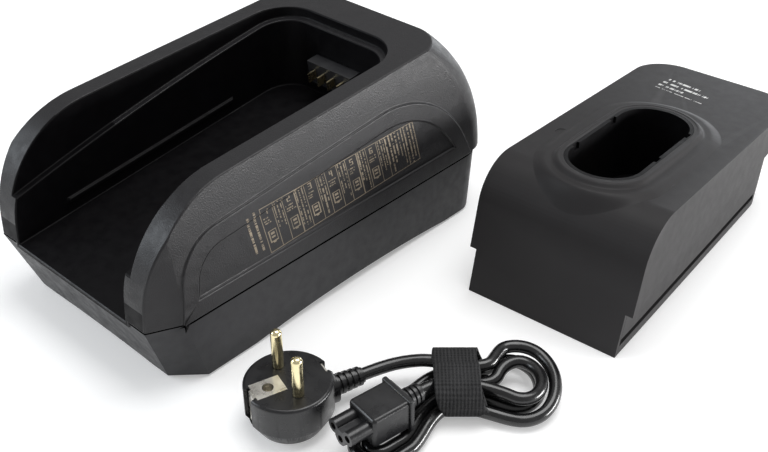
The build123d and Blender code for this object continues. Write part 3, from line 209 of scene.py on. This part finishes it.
def finish(name, colour, rough, metal=0.0, grain=(0.6, 0.02), mottle=0.12, rough_spread=0.08, coat=0.0,
           clear=0.0, wear=0.0, stretch=(1, 1, 1), shine=0.5, weave=0.0, turn_by=0.0):
    """A surface with a moulded or cast grain, uneven gloss and slightly uneven colour.

    grain is the size of the grain and its depth, in mm. stretch draws the pattern out along an axis. wear is
    how far raised edges are rubbed lighter, and weave is the pitch of crossing threads, in mm.
    """
    surface = bpy.data.materials.new(name)
    surface.use_nodes = True
    tree = surface.node_tree
    shader = tree.nodes["Principled BSDF"]
    for socket, value in (("Metallic", metal), ("Specular IOR Level", shine), ("Coat Weight", coat),
                          ("Coat Roughness", COAT_ROUGHNESS), ("Transmission Weight", clear)):
        shader.inputs[socket].default_value = value
    place = tree.nodes.new("ShaderNodeTexCoord")
    lay = tree.nodes.new("ShaderNodeMapping")
    lay.inputs["Scale"].default_value = stretch
    lay.inputs["Rotation"].default_value = (0, 0, -turn_by)
    tree.links.new(place.outputs["Object"], lay.inputs["Vector"])

    def noise(size_mm, detail):
        pattern = tree.nodes.new("ShaderNodeTexNoise")
        pattern.inputs["Scale"].default_value = 1 / (size_mm * MM)
        pattern.inputs["Detail"].default_value = detail
        tree.links.new(lay.outputs["Vector"], pattern.inputs["Vector"])
        return pattern.outputs["Fac"]

    def spread(source, span, low, high):
        ramp = tree.nodes.new("ShaderNodeMapRange")
        for socket, value in zip(("From Min", "From Max", "To Min", "To Max"), (*span, low, high)):
            ramp.inputs[socket].default_value = value
        tree.links.new(source, ramp.inputs["Value"])
        return ramp.outputs["Result"]

    tint = tree.nodes.new("ShaderNodeMix")
    tint.data_type = "RGBA"
    tint.blend_type = "MULTIPLY"
    tint.inputs["Factor"].default_value = 1
    tint.inputs["A"].default_value = (*colour, 1)
    tree.links.new(spread(noise(BLOTCH_SIZE, 3), NOISE_SPAN, 1 - mottle, 1 + mottle), tint.inputs["B"])
    colour_out = tint.outputs["Result"]
    if wear:
        shape = tree.nodes.new("ShaderNodeNewGeometry")
        rub = tree.nodes.new("ShaderNodeMix")
        rub.data_type = "RGBA"
        tree.links.new(spread(shape.outputs["Pointiness"], WORN_EDGE, 0, wear), rub.inputs["Factor"])
        tree.links.new(colour_out, rub.inputs["A"])
        rub.inputs["B"].default_value = (*[min(1, channel * WORN_GAIN + WORN_LIFT) for channel in colour], 1)
        colour_out = rub.outputs["Result"]
    tree.links.new(colour_out, shader.inputs["Base Color"])
    gloss = spread(noise(GLOSS_PATCH, 2), NOISE_SPAN, rough - rough_spread, rough + rough_spread)
    tree.links.new(gloss, shader.inputs["Roughness"])
    size, depth = grain
    bump = tree.nodes.new("ShaderNodeBump")
    bump.inputs["Strength"].default_value = 1
    bump.inputs["Distance"].default_value = depth * MM
    height = noise(size, 2)
    for axis in ("X", "Y", "Z") if weave else ():
        thread = tree.nodes.new("ShaderNodeTexWave")
        thread.bands_direction = axis
        thread.inputs["Scale"].default_value = math.pi / (10 * weave * MM)
        thread.inputs["Distortion"].default_value = THREAD_WAVER
        tree.links.new(lay.outputs["Vector"], thread.inputs["Vector"])
        add = tree.nodes.new("ShaderNodeMath")
        tree.links.new(height, add.inputs[0])
        tree.links.new(thread.outputs["Fac"], add.inputs[1])
        height = add.outputs[0]
    tree.links.new(height, bump.inputs["Height"])
    tree.links.new(bump.outputs["Normal"], shader.inputs["Normal"])
    return surface


FINISHES = {
    "cradle_black": finish("grained_black_moulding", (0.010, 0.0095, 0.0108), 0.42, grain=(0.6, 0.12),
                           mottle=0.04, wear=0.25, shine=0.36),
    "tray_black": finish("fine_grained_black_moulding", (0.016, 0.0160, 0.018), 0.45, grain=(0.4, 0.03),
                         mottle=0.04, wear=0.25, shine=0.32),
    "adapter_grey": finish("satin_dark_grey_moulding", (0.024, 0.0228, 0.0236), 0.5, grain=(0.35, 0.02),
                           mottle=0.04, rough_spread=0.03, wear=0.2, shine=0.15),
    # The next finish also serves as painted shade on the faces inside the cradle's trough.
    "well_black": finish("smooth_black_and_trough_shade", (0.0025, 0.0022, 0.0028), 0.5, grain=(0.5, 0.008),
                         mottle=0.05, shine=0.12),
    # Painted shade: a flat black for the shade in the narrow gap under the cradle's seam.
    "painted_seam_shade": finish("shade_of_the_seam_gap", (0.001, 0.001, 0.001), 0.8, grain=(0.5, 0.01), mottle=0.05,
                         shine=0.0),
    "foot_rubber": finish("soft_foot_rubber", (0.03, 0.03, 0.03), 0.75, grain=(0.3, 0.03)),
    "screw_steel": finish("zinc_plated_steel", (0.6, 0.6, 0.6), 0.35, metal=1, grain=(0.2, 0.004)),
    "board_green": finish("green_solder_mask", (0.02, 0.14, 0.06), 0.3, grain=(0.8, 0.01), coat=0.3),
    "ferrite": finish("matt_ferrite", (0.07, 0.07, 0.075), 0.6, grain=(0.25, 0.02)),
    "tape_yellow": finish("wound_yellow_tape", (0.72, 0.5, 0.05), 0.35, grain=(1.2, 0.03), stretch=(1, 1, 4)),
    "copper_wire": finish("enamelled_copper", (0.7, 0.32, 0.14), 0.3, metal=1, grain=(0.6, 0.06),
                          stretch=(1, 1, 0.3)),
    "capacitor_can": finish("sleeved_can", (0.03, 0.035, 0.05), 0.3, grain=(1.0, 0.01)),
    "film_yellow": finish("glossy_yellow_case", (0.75, 0.55, 0.06), 0.25, grain=(1.0, 0.01)),
    "chip_black": finish("matt_epoxy", (0.02, 0.02, 0.02), 0.55, grain=(0.2, 0.01)),
    "fuse_glass": finish("clear_tube_glass", (0.85, 0.9, 0.87), 0.1, rough_spread=0.05, clear=0.8,
                         grain=(2.0, 0.004)),
    "bare_aluminium": finish("extruded_aluminium", (0.75, 0.76, 0.78), 0.35, metal=1, grain=(0.4, 0.01),
                             stretch=(1, 1, 0.1)),
    "contact_brass": finish("nickel_flashed_brass", (0.80, 0.68, 0.42), 0.28, metal=1, grain=(0.4, 0.006)),
    "spring_steel": finish("bright_spring_wire", (0.66, 0.66, 0.68), 0.25, metal=1, grain=(0.2, 0.003)),
    "lamp_red": finish("clear_red_resin", (0.75, 0.03, 0.02), 0.15, clear=0.4, grain=(1.0, 0.004),
                       rough_spread=0.05),
    "lamp_green": finish("clear_green_resin", (0.04, 0.6, 0.08), 0.15, clear=0.4, grain=(1.0, 0.004),
                         rough_spread=0.05),
    "socket_black": finish("glass_filled_black", (0.018, 0.018, 0.02), 0.5, grain=(0.4, 0.02)),
    "lead_black": finish("glossy_plug_moulding", (0.009, 0.009, 0.010), 0.3, grain=(0.45, 0.018), mottle=0.05,
                         wear=0.25),
    "cable_black": finish("glossy_cable_jacket", (0.006, 0.006, 0.0065), 0.24, grain=(1.8, 0.03), mottle=0.05,
                          coat=0.25),
    "plug_nickel": finish("polished_pin_brass", (0.86, 0.76, 0.47), 0.2, metal=1, grain=(0.5, 0.006)),
    "earth_steel": finish("bright_earth_plate", (0.86, 0.83, 0.76), 0.3, metal=1, grain=(0.5, 0.008)),
    "cradle_print": finish("pad_printed_tan_ink", (0.23, 0.19, 0.14), 0.55, grain=(0.3, 0.01), mottle=0.25,
                           shine=0.3),
    "label_ink": finish("thin_white_ink", (0.55, 0.55, 0.54), 0.5, grain=(0.3, 0.006), mottle=0.2, shine=0.3),
    "strap_fabric": finish("hook_and_loop_strap", (0.022, 0.022, 0.023), 0.8, grain=(0.5, 0.32), mottle=0.3,
                           shine=0.3, weave=1.5, turn_by=STRAP_HEADING),
}

slot_of = {row["node"]: row["material_slot"] for row in frame["record"]["subparts"]}
for node_name, node in nodes.items():
    look = FINISHES[slot_of[node_name]]
    if not node.data.materials:
        node.data.materials.append(look)
    for slot in node.material_slots:
        slot.material = look


# ---------------------------------------------------------------- workshop helpers
def work_on(piece):
    """Select just this piece and make it the active one."""
    bpy.ops.object.select_all(action="DESELECT")
    piece.select_set(True)
    bpy.context.view_layer.objects.active = piece


def apply_modifier(piece, kind, **settings):
    """Add a modifier by its kind and settings and apply it at once."""
    work_on(piece)
    bpy.ops.object.modifier_add(type=kind)
    modifier = piece.modifiers[-1]
    for key, value in settings.items():
        setattr(modifier, key, value)
    bpy.ops.object.modifier_apply(modifier=modifier.name)


@contextmanager
def edit_mode(piece):
    """Edit mode on one piece, with the whole of it selected."""
    work_on(piece)
    bpy.ops.object.mode_set(mode="EDIT")
    bpy.ops.mesh.select_all(action="SELECT")
    yield
    bpy.ops.object.mode_set(mode="OBJECT")


def flat_grid(name, columns, rows):
    """A new grid from -1 to 1 each way, to be bent into shape."""
    bpy.ops.object.select_all(action="DESELECT")
    bpy.ops.mesh.primitive_grid_add(x_subdivisions=columns, y_subdivisions=rows, size=2)
    piece = bpy.context.object
    piece.name = name
    work_on(piece)
    return piece


def shade_the_trough(piece, half_width, back, low):
    """Paint shade inside the trough: its faces get a nearly black, duller finish in place of the moulding's
    own, for a place that light hardly reaches.
    """
    facing_up = 0.9
    piece.data.materials.append(FINISHES["well_black"])
    for face in piece.data.polygons:
        x, y, z = (value / MM for value in face.center)
        on_rim = face.normal.z >= facing_up and z >= RIM_LEVEL
        if abs(x) < half_width and y < back and z > low and not on_rim:
            face.material_index = 1


def shade_the_seam(piece, level, width, reach=0.0):
    """Paint shade on the strip of a moulding just under its seam, beyond a reach: a flat black for the shade
    in a narrow gap, not the moulding's own colour.
    """
    with edit_mode(piece):
        bpy.ops.mesh.bisect(plane_co=(0, 0, (level - width) * MM), plane_no=(0, 0, 1))
    if FINISHES["painted_seam_shade"].name not in piece.data.materials:
        piece.data.materials.append(FINISHES["painted_seam_shade"])
    for face in piece.data.polygons:
        if level - width < face.center.z / MM < level and abs(face.center.x) / MM > reach:
            face.material_index = len(piece.data.materials) - 1


def hand_over(piece, body, slot, look=None):
    """Give a finished piece its finish and the body that it rides on."""
    piece.data.materials.clear()
    piece.data.materials.append(FINISHES[look or slot])
    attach(piece, body)


def moulding(node_name, name, body, slot, round_over, limited=True):
    """A merged copy of a moulding with its edges rounded over, shown in the moulding's stead."""
    flat_within, crease = math.radians(0.4), math.radians(32)
    piece = bpy.data.objects.new(name, nodes[node_name].data.copy())
    bpy.context.scene.collection.objects.link(piece)
    with edit_mode(piece):
        bpy.ops.mesh.remove_doubles(threshold=MERGE_WITHIN * MM)
        bpy.ops.mesh.dissolve_limited(angle_limit=flat_within)
    bpy.ops.object.shade_smooth_by_angle(angle=crease)
    apply_modifier(piece, "BEVEL", width=round_over * MM, segments=3, limit_method="ANGLE",
                   angle_limit=crease, harden_normals=True, use_clamp_overlap=limited)
    apply_modifier(piece, "WEIGHTED_NORMAL", keep_sharp=True)
    low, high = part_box(node_name)
    for corner in piece.data.vertices:
        corner.co = [min(max(value, least), most) for value, least, most in zip(corner.co, low, high)]
    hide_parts(node_name)
    hand_over(piece, body, slot)
    return piece


# ---------------------------------------------------------------- cable
def turn(middle, reach, start, end, heights, count):
    """Points of one coil turn round a middle, with a height at each quarter of the way."""
    points = []
    for index in range(count):
        share = index / (count - 1)
        angle = math.radians(start + (end - start) * share)
        quarter = min(int(share * 4), 3)
        along = share * 4 - quarter
        height = heights[quarter] + (heights[quarter + 1] - heights[quarter]) * along
        x, y = middle[0] + reach[0] * math.cos(angle), middle[1] + reach[1] * math.sin(angle)
        points.append((x, y, height))
    return points


FOLD_MIDDLE = (-34.4, -29.5)
FOLD_AXIS = (-0.792, -0.6105)
FOLD_LEVEL = 3.2
FOLD_FULLNESS = 1.06
FOLD_STEPS = 6
FOLD_ENDS = (-10.5, -5.0)


def fold(radius):
    """Points of one hairpin fold at the bundle's folded end."""
    ahead, across = FOLD_AXIS, (-FOLD_AXIS[1], FOLD_AXIS[0])

    def spot(along, aside):
        return (FOLD_MIDDLE[0] + ahead[0] * along + across[0] * aside,
                FOLD_MIDDLE[1] + ahead[1] * along + across[1] * aside, FOLD_LEVEL)

    points = [spot(along, radius) for along in FOLD_ENDS]
    for index in range(FOLD_STEPS + 1):
        angle = math.pi * index / FOLD_STEPS
        full = radius * FOLD_FULLNESS
        points.append(spot(full * math.sin(angle), full * math.cos(angle)))
    return points + [spot(along, -radius) for along in reversed(FOLD_ENDS)]


RUN_ROUTE = ((114.85, -42.14, 9.5), (117.9, -32.8, 9.6), (123.6, -24.4, 10.6), (131.2, -17.3, 11.5))
HANK_ROUTE = (
    [(-4, 8.6, 10.4), (6, 8.0, 10.0), (12.4, 9.6, 10.0), (15.2, 14.8, 10.0)]
    + turn((24.2, 2.0), (15.4, 19.6), 112, -112, (10.0, 10.0, 7.5, 4.2, 3.6), 12)
    + [(12, -14.0, 4.2), (3, -11.0, 4.8), (-7, -10.6, 4.8), (-13, -16.0, 4.2)]
    + fold(9.9)
    + [(-22.6, -1.5, 3.4), (-11, 9.4, 4.6), (0, 10.5, 4.8), (10, 11.2, 4.6)]
    + turn((21.5, 4.7), (12.0, 15.0), 115, -115, (3.6, 3.2, 3.2, 3.2, 3.6), 12)
    + [(8, -5.2, 4.6), (0, -4.2, 4.8), (-9, -4.8, 4.8), (-17.4, -13.2, 3.8)]
    + fold(4.4)
    + [(-20.0, -7.2, 3.4), (-9.5, 2.9, 4.6), (0, 3.2, 4.8), (9, 2.6, 5.2)]
    + turn((23.9, 0.8), (9.6, 12.0), 165, -130, (6.2, 9.2, 9.2, 9.3, 10.0), 12)
    + [(8, -4.4, 10.4), (0, -4.0, 11.6), (-7, -5.4, 13.4), (-13, -7.9, 14.5), (-17.9, -11.6, 14.5)]
)


def cable():
    """The whole mains cable on one smooth curve, from the plug's relief to the connector's."""
    route = [Vector(point) * MM for point in RUN_ROUTE] + [at(BUNDLE, *point) for point in HANK_ROUTE]
    curve = bpy.data.curves.new("mains_cable", "CURVE")
    curve.dimensions = "3D"
    line = curve.splines.new("NURBS")
    line.points.add(len(route) - 1)
    for spot, point in zip(line.points, route):
        spot.co = (*point, 1)
    line.order_u = 3
    line.use_endpoint_u = True
    line.resolution_u = 6
    curve.bevel_depth = CABLE_DIAMETER / 2 * MM
    curve.bevel_resolution = 5
    curve.use_fill_caps = True
    piece = bpy.data.objects.new("mains_cable", curve)
    bpy.context.scene.collection.objects.link(piece)
    curve.materials.append(FINISHES["cable_black"])
    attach(piece, "mains_lead")
    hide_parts("mains_cable_run", "mains_cable_hank", "mains_cable_tail")
    return piece, route[0]


mains_cable, cable_start = cable()

# ---------------------------------------------------------------- mouldings
upper = moulding("upper_housing", "upper_housing_moulding", "cradle", "cradle_black", 0.7, limited=False)
# Painted shade: the faces inside the trough get a nearly black finish in place of the moulding's own.
shade_the_trough(upper, TROUGH_HALF_WIDTH, TROUGH_BACK, LIP_HEIGHT)
lower = moulding("lower_housing", "lower_housing_moulding", "cradle", "tray_black", 0.5)
# Painted shade: a black strip just under the parting seam, and a taller one along the sides under the frame.
shade_the_seam(lower, PARTING_HEIGHT, SEAM_WIDTH)
shade_the_seam(lower, PARTING_HEIGHT, SEAM_UNDER_FRAME, SEAM_REACH)
top = moulding("adapter_top", "adapter_top_moulding", "adapter", "adapter_grey", 1.0)
moulding("adapter_tub", "adapter_tub_moulding", "adapter", "adapter_grey", 0.5)
plug_shell = moulding("plug_body", "plug_moulding", "mains_lead", "lead_black", 0.5)
connector_shell = moulding("connector_body", "connector_moulding", "mains_lead", "lead_black", 0.3)


# ---------------------------------------------------------------- soft collar round the battery well
COLLAR_ROWS = 28
COLLAR_STEPS = 120
COLLAR_REACH = 16.5
COLLAR_SKIN = 0.9
COLLAR_TUCK = 0.6
CREST_HEIGHT = COLLAR_HEIGHT + 0.15
SHELF_HEIGHT = COLLAR_STEP_HEIGHT + 0.25
SHOULDER_START, SHOULDER_WIDTH = COLLAR_MARGIN + 0.2, 2.6
EDGE_SINK = 0.15
PROBE_HEIGHT = 20


def surface_of(piece):
    """A finished piece's surface, to lay other pieces on."""
    corners = [corner.co.copy() for corner in piece.data.vertices]
    return BVHTree.FromPolygons(corners, [tuple(face.vertices) for face in piece.data.polygons])


PLATE_SURFACE = surface_of(top)
TO_PLATE = TOP_PLATE.inverted()


def plate_surface(x, y):
    """Height of the adapter's own surface in the top plate's frame."""
    start = at(TOP_PLATE, x, y, PROBE_HEIGHT)
    down = at(TOP_PLATE, x, y, 0) - start
    hit = PLATE_SURFACE.ray_cast(start, down.normalized())[0]
    return (TO_PLATE @ (hit / MM)).z if hit else 0.0


def oval_spot(margin, step):
    """A place on the oval round the battery opening, at a margin outside it."""
    end_turn = 4
    radius = WELL_WIDTH / 2 + margin
    straight = (WELL_LENGTH - WELL_WIDTH) / 2
    around = 2 * math.pi * step / COLLAR_STEPS
    x, y = math.cos(around), math.sin(around)
    return radius * x, radius * y + math.copysign(straight, y) * min(1, abs(y) * end_turn)


def ease(share):
    """A smooth step from 0 to 1."""
    share = max(0.0, min(1.0, share))
    return share * share * (3 - 2 * share)


def collar_height(margin, x, y):
    """Height of the soft collar at a margin outside the opening."""
    if margin <= COLLAR_STEP_MARGIN:
        return CREST_HEIGHT + (SHELF_HEIGHT - CREST_HEIGHT) * ease((margin - SHOULDER_START) / SHOULDER_WIDTH)
    share = (margin - COLLAR_STEP_MARGIN) / (COLLAR_REACH - COLLAR_STEP_MARGIN)
    return SHELF_HEIGHT + (plate_surface(x, y) - EDGE_SINK - SHELF_HEIGHT) * ease(share)


def soft_collar():
    """The rounded collar that runs out softly into the top plate and the front."""
    piece = flat_grid("well_collar_skin", COLLAR_STEPS, COLLAR_ROWS)
    inner = COLLAR_MARGIN - COLLAR_TUCK
    for index, corner in enumerate(piece.data.vertices):
        row, step = divmod(index, COLLAR_STEPS + 1)
        margin = inner + (COLLAR_REACH - inner) * row / COLLAR_ROWS
        x, y = oval_spot(margin, step)
        corner.co = at(TOP_PLATE, x, y, collar_height(margin, x, y))
    with edit_mode(piece):
        bpy.ops.mesh.remove_doubles(threshold=MERGE_WITHIN * MM)
        bpy.ops.mesh.normals_make_consistent(inside=False)
    apply_modifier(piece, "SOLIDIFY", thickness=COLLAR_SKIN * MM, offset=-1)
    bpy.ops.object.shade_smooth_by_angle(angle=SOFT_CREASE)
    hand_over(piece, "adapter", "adapter_grey")


soft_collar()


# ---------------------------------------------------------------- printed panel, label and marks
PRINT_CELL = 0.3
INK_LIFT, INK_THICK, INK_SEARCH = 0.03, 0.05, 20
SEGMENTS = {1: "bc", 2: "abged", 3: "abgcd", 4: "fgbc", 5: "afgcd", 6: "afgedc"}
SPECKLE_WEIGHTS = (12.9898, 78.233, 37.719)
SPECKLE_GAIN = 43758.5453


def speckle(*numbers):
    """The same even spread of values from 0 to 1 on every run, from whole numbers."""
    value = math.sin(sum(number * weight for number, weight in zip(numbers, SPECKLE_WEIGHTS))) * SPECKLE_GAIN
    return value - math.floor(value)


# How many letters and words a full row has, and what share of them is left blank.
LETTERS, WORDS = 70, 21
LETTER_GAP, WORD_GAP = 0.3, 0.12


def hairlines(along, across, pitch, thick, seed, least=0.45):
    """Rows of short broken dashes, like fine print seen from afar.

    pitch and thick are the rows' spacing and height, and least is the shortest row's share of the width.
    """
    row, inside = divmod(along, pitch)
    if inside > thick or across > least + (1 - least) * speckle(row, seed):
        return False
    return (speckle(row, math.floor(across * LETTERS), seed) > LETTER_GAP
            and speckle(row, math.floor(across * WORDS), seed + 9) > WORD_GAP)


def digit(x, y, number):
    """True where a plain seven-bar numeral of width 1 and height 2 has ink."""
    thick = 0.28
    if not (0 <= x <= 1 and 0 <= y <= 2):
        return False
    bars = {"a": y < thick, "d": y > 2 - thick, "g": abs(y - 1) < thick / 2, "f": x < thick and y < 1,
            "e": x < thick and y > 1, "b": x > 1 - thick and y < 1, "c": x > 1 - thick and y > 1}
    return any(bars[bar] for bar in SEGMENTS[number])


def cell_sign(x, y):
    """True where a plain outline of a battery cell, 5 by 3, with a nub and two bars, has ink."""
    if 5 <= x <= 5.5 and 1 <= y <= 2:
        return True
    if not (0 <= x <= 5 and 0 <= y <= 3):
        return False
    frame_line = min(x, 5 - x, y, 3 - y) < 0.35
    return frame_line or 1.1 < x < 1.9 and 0.8 < y < 2.2 or 2.7 < x < 3.5 and 0.8 < y < 2.2


# The panel's table, in mm: its ruled modules, and the rows of dashes as pitch, height, seed and shortest row.
PANEL_SIZE = (111.0, 26.0)
TABLE_START, TABLE_END, TABLE_HEIGHT = 8.4, 106.5, 24.6
HEADING_DEPTH, HEADING_WIDTH, TEXT_INSET = 22.5, 24, 0.9
MODULE, MODULES, SIGNS_WIDTH, STEPS_START = 13.0, 6, 7.4, 8.1
RULE, THIN_RULE = 0.34, 0.17
HEADING_ROWS, LEGEND_ROWS = (3.9, 1.25, 5, 0.85), (2.15, 0.75, 11)
STEP_ROWS, STEP_SEED = (1.75, 0.65), 20
NOTE_ROWS, NOTE_SEED = (1.4, 0.6), 40
NUMBER_PLACE, NUMBER_WIDTH, NUMBER_SCALE = (2.6, 1.6), 2.0, 1.6
NOTE_SPAN, NOTE_INSET, NOTE_WIDTH = (6.3, 10.5), 1.2, 5.6
SIGN_PLACE, SIGN_SCALE = (1.6, 13.4), (1.5, 1.25)


def panel_ink(along, down):
    """True where the panel's print has ink, at a place along and down its strip in mm."""
    if along < TABLE_START:
        return down < HEADING_DEPTH and hairlines(along - TEXT_INSET, down / HEADING_WIDTH, *HEADING_ROWS)
    if along > TABLE_END:
        return False
    inside = along - TABLE_START
    if min(down, TABLE_HEIGHT - down) < RULE or inside < RULE or TABLE_END - along < RULE:
        return 0 <= down <= TABLE_HEIGHT
    if not 0 < down < TABLE_HEIGHT:
        return False
    module, step = divmod(inside, MODULE)
    if module >= MODULES:
        return step < RULE or hairlines(inside - TEXT_INSET, down / TABLE_HEIGHT, *LEGEND_ROWS)
    if step < RULE or abs(step - SIGNS_WIDTH) < THIN_RULE:
        return True
    if step > SIGNS_WIDTH:
        return hairlines(step - STEPS_START, down / TABLE_HEIGHT, *STEP_ROWS, STEP_SEED + int(module))
    number = int(module) + 1
    if digit((step - NUMBER_PLACE[0]) / NUMBER_WIDTH, (down - NUMBER_PLACE[1]) / NUMBER_SCALE, number):
        return True
    if NOTE_SPAN[0] < down < NOTE_SPAN[1]:
        across = (step - NOTE_INSET) / NOTE_WIDTH
        return step > NOTE_INSET and hairlines(down - NOTE_SPAN[0], across, *NOTE_ROWS, NOTE_SEED + number)
    return cell_sign((down - SIGN_PLACE[1]) / SIGN_SCALE[1], (step - SIGN_PLACE[0]) / SIGN_SCALE[0])


LABEL_MIDDLE, LABEL_TURN = (-7.6, 78.5), math.radians(-7.0)
LABEL_SIZE = (32.0, 16.5)
LABEL_START, LABEL_END, LABEL_TOP = 1.6, 31, 2.2
LABEL_ROWS = (4.6, 1.8, 70)


def label_ink(along, down):
    """True where the label's blank rows have ink."""
    across = (along - LABEL_START) / LABEL_END
    return LABEL_START < along < LABEL_END and hairlines(down - LABEL_TOP, across, *LABEL_ROWS)


def inked_sheet(name, size, inked, place, carrier, axis, body, slot, look):
    """A thin printed layer: a fine grid whose bare cells are removed, laid on the piece that carries it."""
    width, height = size
    piece = flat_grid(name, round(width / PRINT_CELL), round(height / PRINT_CELL))
    bpy.context.tool_settings.mesh_select_mode = (False, False, True)
    for part in (*piece.data.vertices, *piece.data.edges):
        part.select = False
    for face in piece.data.polygons:
        face.select = not inked((face.center.x + 1) / 2 * width, (1 - face.center.y) / 2 * height)
    bpy.ops.object.mode_set(mode="EDIT")
    bpy.ops.mesh.delete(type="FACE")
    bpy.ops.object.mode_set(mode="OBJECT")
    bpy.context.tool_settings.mesh_select_mode = (True, False, False)
    for corner in piece.data.vertices:
        corner.co = place((corner.co.x + 1) / 2 * width, (1 - corner.co.y) / 2 * height)
    apply_modifier(piece, "SHRINKWRAP", target=carrier, wrap_method="PROJECT", use_negative_direction=True,
                   use_positive_direction=True, project_limit=INK_SEARCH * MM, offset=INK_LIFT * MM, **axis)
    apply_modifier(piece, "SOLIDIFY", thickness=INK_THICK * MM, offset=0)
    hand_over(piece, body, slot, look)


PANEL_TOP, PANEL_TOP_RISE = (-52.0, 67.6), 1.0
PANEL_LOW, PANEL_LOW_RISE = (-48.0, 42.2), 4.0
PRINT_STAND_OFF = 3


def panel_place(along, down):
    """A place of the print on the cradle's side: it leans a little, as the panel does."""
    length, height = PANEL_SIZE
    share, run = down / height, along / length
    y = (PANEL_TOP[0] + along) * (1 - share) + (PANEL_LOW[0] + along) * share
    z = (PANEL_TOP[1] + PANEL_TOP_RISE * run) * (1 - share) + (PANEL_LOW[1] + PANEL_LOW_RISE * run) * share
    return Vector((PRINT_SIDE + PRINT_STAND_OFF, y, z)) * MM


def label_place(along, down):
    """A place of the label on the adapter's top plate."""
    flat = Vector((along - LABEL_SIZE[0] / 2, LABEL_SIZE[1] / 2 - down, 0))
    spot = Matrix.Rotation(LABEL_TURN, 4, "Z") @ flat
    return at(TOP_PLATE, LABEL_MIDDLE[0] + spot.x, LABEL_MIDDLE[1] + spot.y, PRINT_STAND_OFF)


inked_sheet("panel_print", PANEL_SIZE, panel_ink, panel_place, upper, {"use_project_x": True}, "cradle",
            "cradle_black", "cradle_print")
inked_sheet("label_rows", LABEL_SIZE, label_ink, label_place, top, {"use_project_z": True}, "adapter",
            "adapter_grey", "label_ink")


MOON_RADIUS, MOON_THICK = 3.0, 0.32


def half_moon(name, x, y, facing):
    """A small crescent rib left by an ejector pin, half a ring standing just proud of the plate."""
    bpy.ops.object.select_all(action="DESELECT")
    bpy.ops.mesh.primitive_torus_add(major_segments=36, minor_segments=8, major_radius=MOON_RADIUS,
                                     minor_radius=MOON_THICK)
    piece = bpy.context.object
    piece.name = name
    with edit_mode(piece):
        bpy.ops.mesh.bisect(plane_co=(0, 0, 0), plane_no=(math.cos(facing), math.sin(facing), 0),
                            clear_inner=True, use_fill=True)
    for corner in piece.data.vertices:
        corner.co = at(TOP_PLATE, x + corner.co.x, y + corner.co.y, plate_surface(x, y) + corner.co.z)
    bpy.ops.object.shade_smooth_by_angle(angle=SOFT_CREASE)
    hand_over(piece, "adapter", "adapter_grey")


half_moon("left_half_moon", -32.3, -7.1, math.radians(120))
half_moon("right_half_moon", 28.6, -19.2, math.radians(60))


# ---------------------------------------------------------------- hook-and-loop strap
STRAP_ROUND = 7.5
STRAP_FLAT = 0.6
STRAP_CORNER_STEPS = 8
STRAP_CLEAR = 0.1
STRAP_RAISE = 0.3
STRAP_LEAN = 0.35
STRAP_LEAN_MIDDLE = 9
STRAP_OVERLAP = 19.0
STRAP_HALF_WIDTH = 9.5
STRAP_THICK = 1.3
STRAP_ROWS, STRAP_COLUMNS = 96, 16
# The lap climbs over the start, its last stretch stands a little loose, and the band wanders sideways.
LAP_RAMP = 3
LOOSE_END, LOOSE_RISE = 6, 0.9
SWAYS = ((0.4, 0.13, 0), (0.25, 0.41, 1))


def strap_outline():
    """The closed way of the strap round the cable bundle, as places across and up."""
    inward = BUNDLE.inverted()
    corners = [inward @ (corner.co / MM) for corner in nodes["cable_strap"].data.vertices]
    inset = STRAP_THICK / 2 + STRAP_CLEAR
    left = min(corner.y for corner in corners) + inset + STRAP_THICK + STRAP_ROUND
    right = max(corner.y for corner in corners) - inset - STRAP_ROUND
    low = min(corner.z for corner in corners) + inset + STRAP_RAISE + STRAP_ROUND * STRAP_FLAT
    high = max(corner.z for corner in corners) - inset - STRAP_THICK - STRAP_ROUND
    points = []
    for middle_x, middle_z, begin, flat in ((left, high, -180, 1.0), (right, high, 90, 1.0),
                                            (right, low, 0, STRAP_FLAT), (left, low, -90, STRAP_FLAT)):
        for step in range(STRAP_CORNER_STEPS + 1):
            angle = math.radians(begin - step * 90 / STRAP_CORNER_STEPS)
            points.append((middle_x + STRAP_ROUND * math.cos(angle),
                           middle_z + STRAP_ROUND * flat * math.sin(angle)))
    return points


def strap():
    """A flat woven band round the bundle, its loose end lying over its start."""
    outline = strap_outline()
    loop = outline + [outline[0]]
    lengths = [0.0]
    for before, after in zip(loop, loop[1:]):
        lengths.append(lengths[-1] + math.dist(before, after))
    total = lengths[-1] + STRAP_OVERLAP
    piece = flat_grid("woven_cable_strap", STRAP_COLUMNS, STRAP_ROWS)
    for corner in piece.data.vertices:
        way = (corner.co.y + 1) / 2 * total
        lap = way - lengths[-1]
        place = way if lap <= 0 else lap
        index = max(i for i, length in enumerate(lengths[:-1]) if length <= place + 1e-6)
        step = lengths[index + 1] - lengths[index]
        share = (place - lengths[index]) / step if step else 0
        way_across = loop[index + 1][0] - loop[index][0]
        way_up = loop[index + 1][1] - loop[index][1]
        across, up = loop[index][0] + share * way_across, loop[index][1] + share * way_up
        out = Vector((-way_up, way_across)).normalized() if step else Vector((0, 1))
        over = ease((lap + LAP_RAMP) / LAP_RAMP) * (STRAP_THICK + STRAP_CLEAR)
        rise = over + LOOSE_RISE * ease((lap - STRAP_OVERLAP + LOOSE_END) / LOOSE_END)
        sway = sum(size * math.sin(way * rate + phase) for size, rate, phase in SWAYS)
        lean = STRAP_LEAN * (STRAP_LEAN_MIDDLE - up)
        along = corner.co.x * STRAP_HALF_WIDTH + sway + lean
        corner.co = at(BUNDLE, along, across + out.x * rise, up + out.y * rise)
    apply_modifier(piece, "SOLIDIFY", thickness=STRAP_THICK * MM, offset=0)
    apply_modifier(piece, "BEVEL", width=0.3 * MM, segments=2, limit_method="ANGLE",
                   angle_limit=math.radians(40))
    bpy.ops.object.shade_smooth_by_angle(angle=SOFT_CREASE)
    hand_over(piece, "mains_lead", "strap_fabric")
    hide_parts("cable_strap")
    return piece


cable_band = strap()
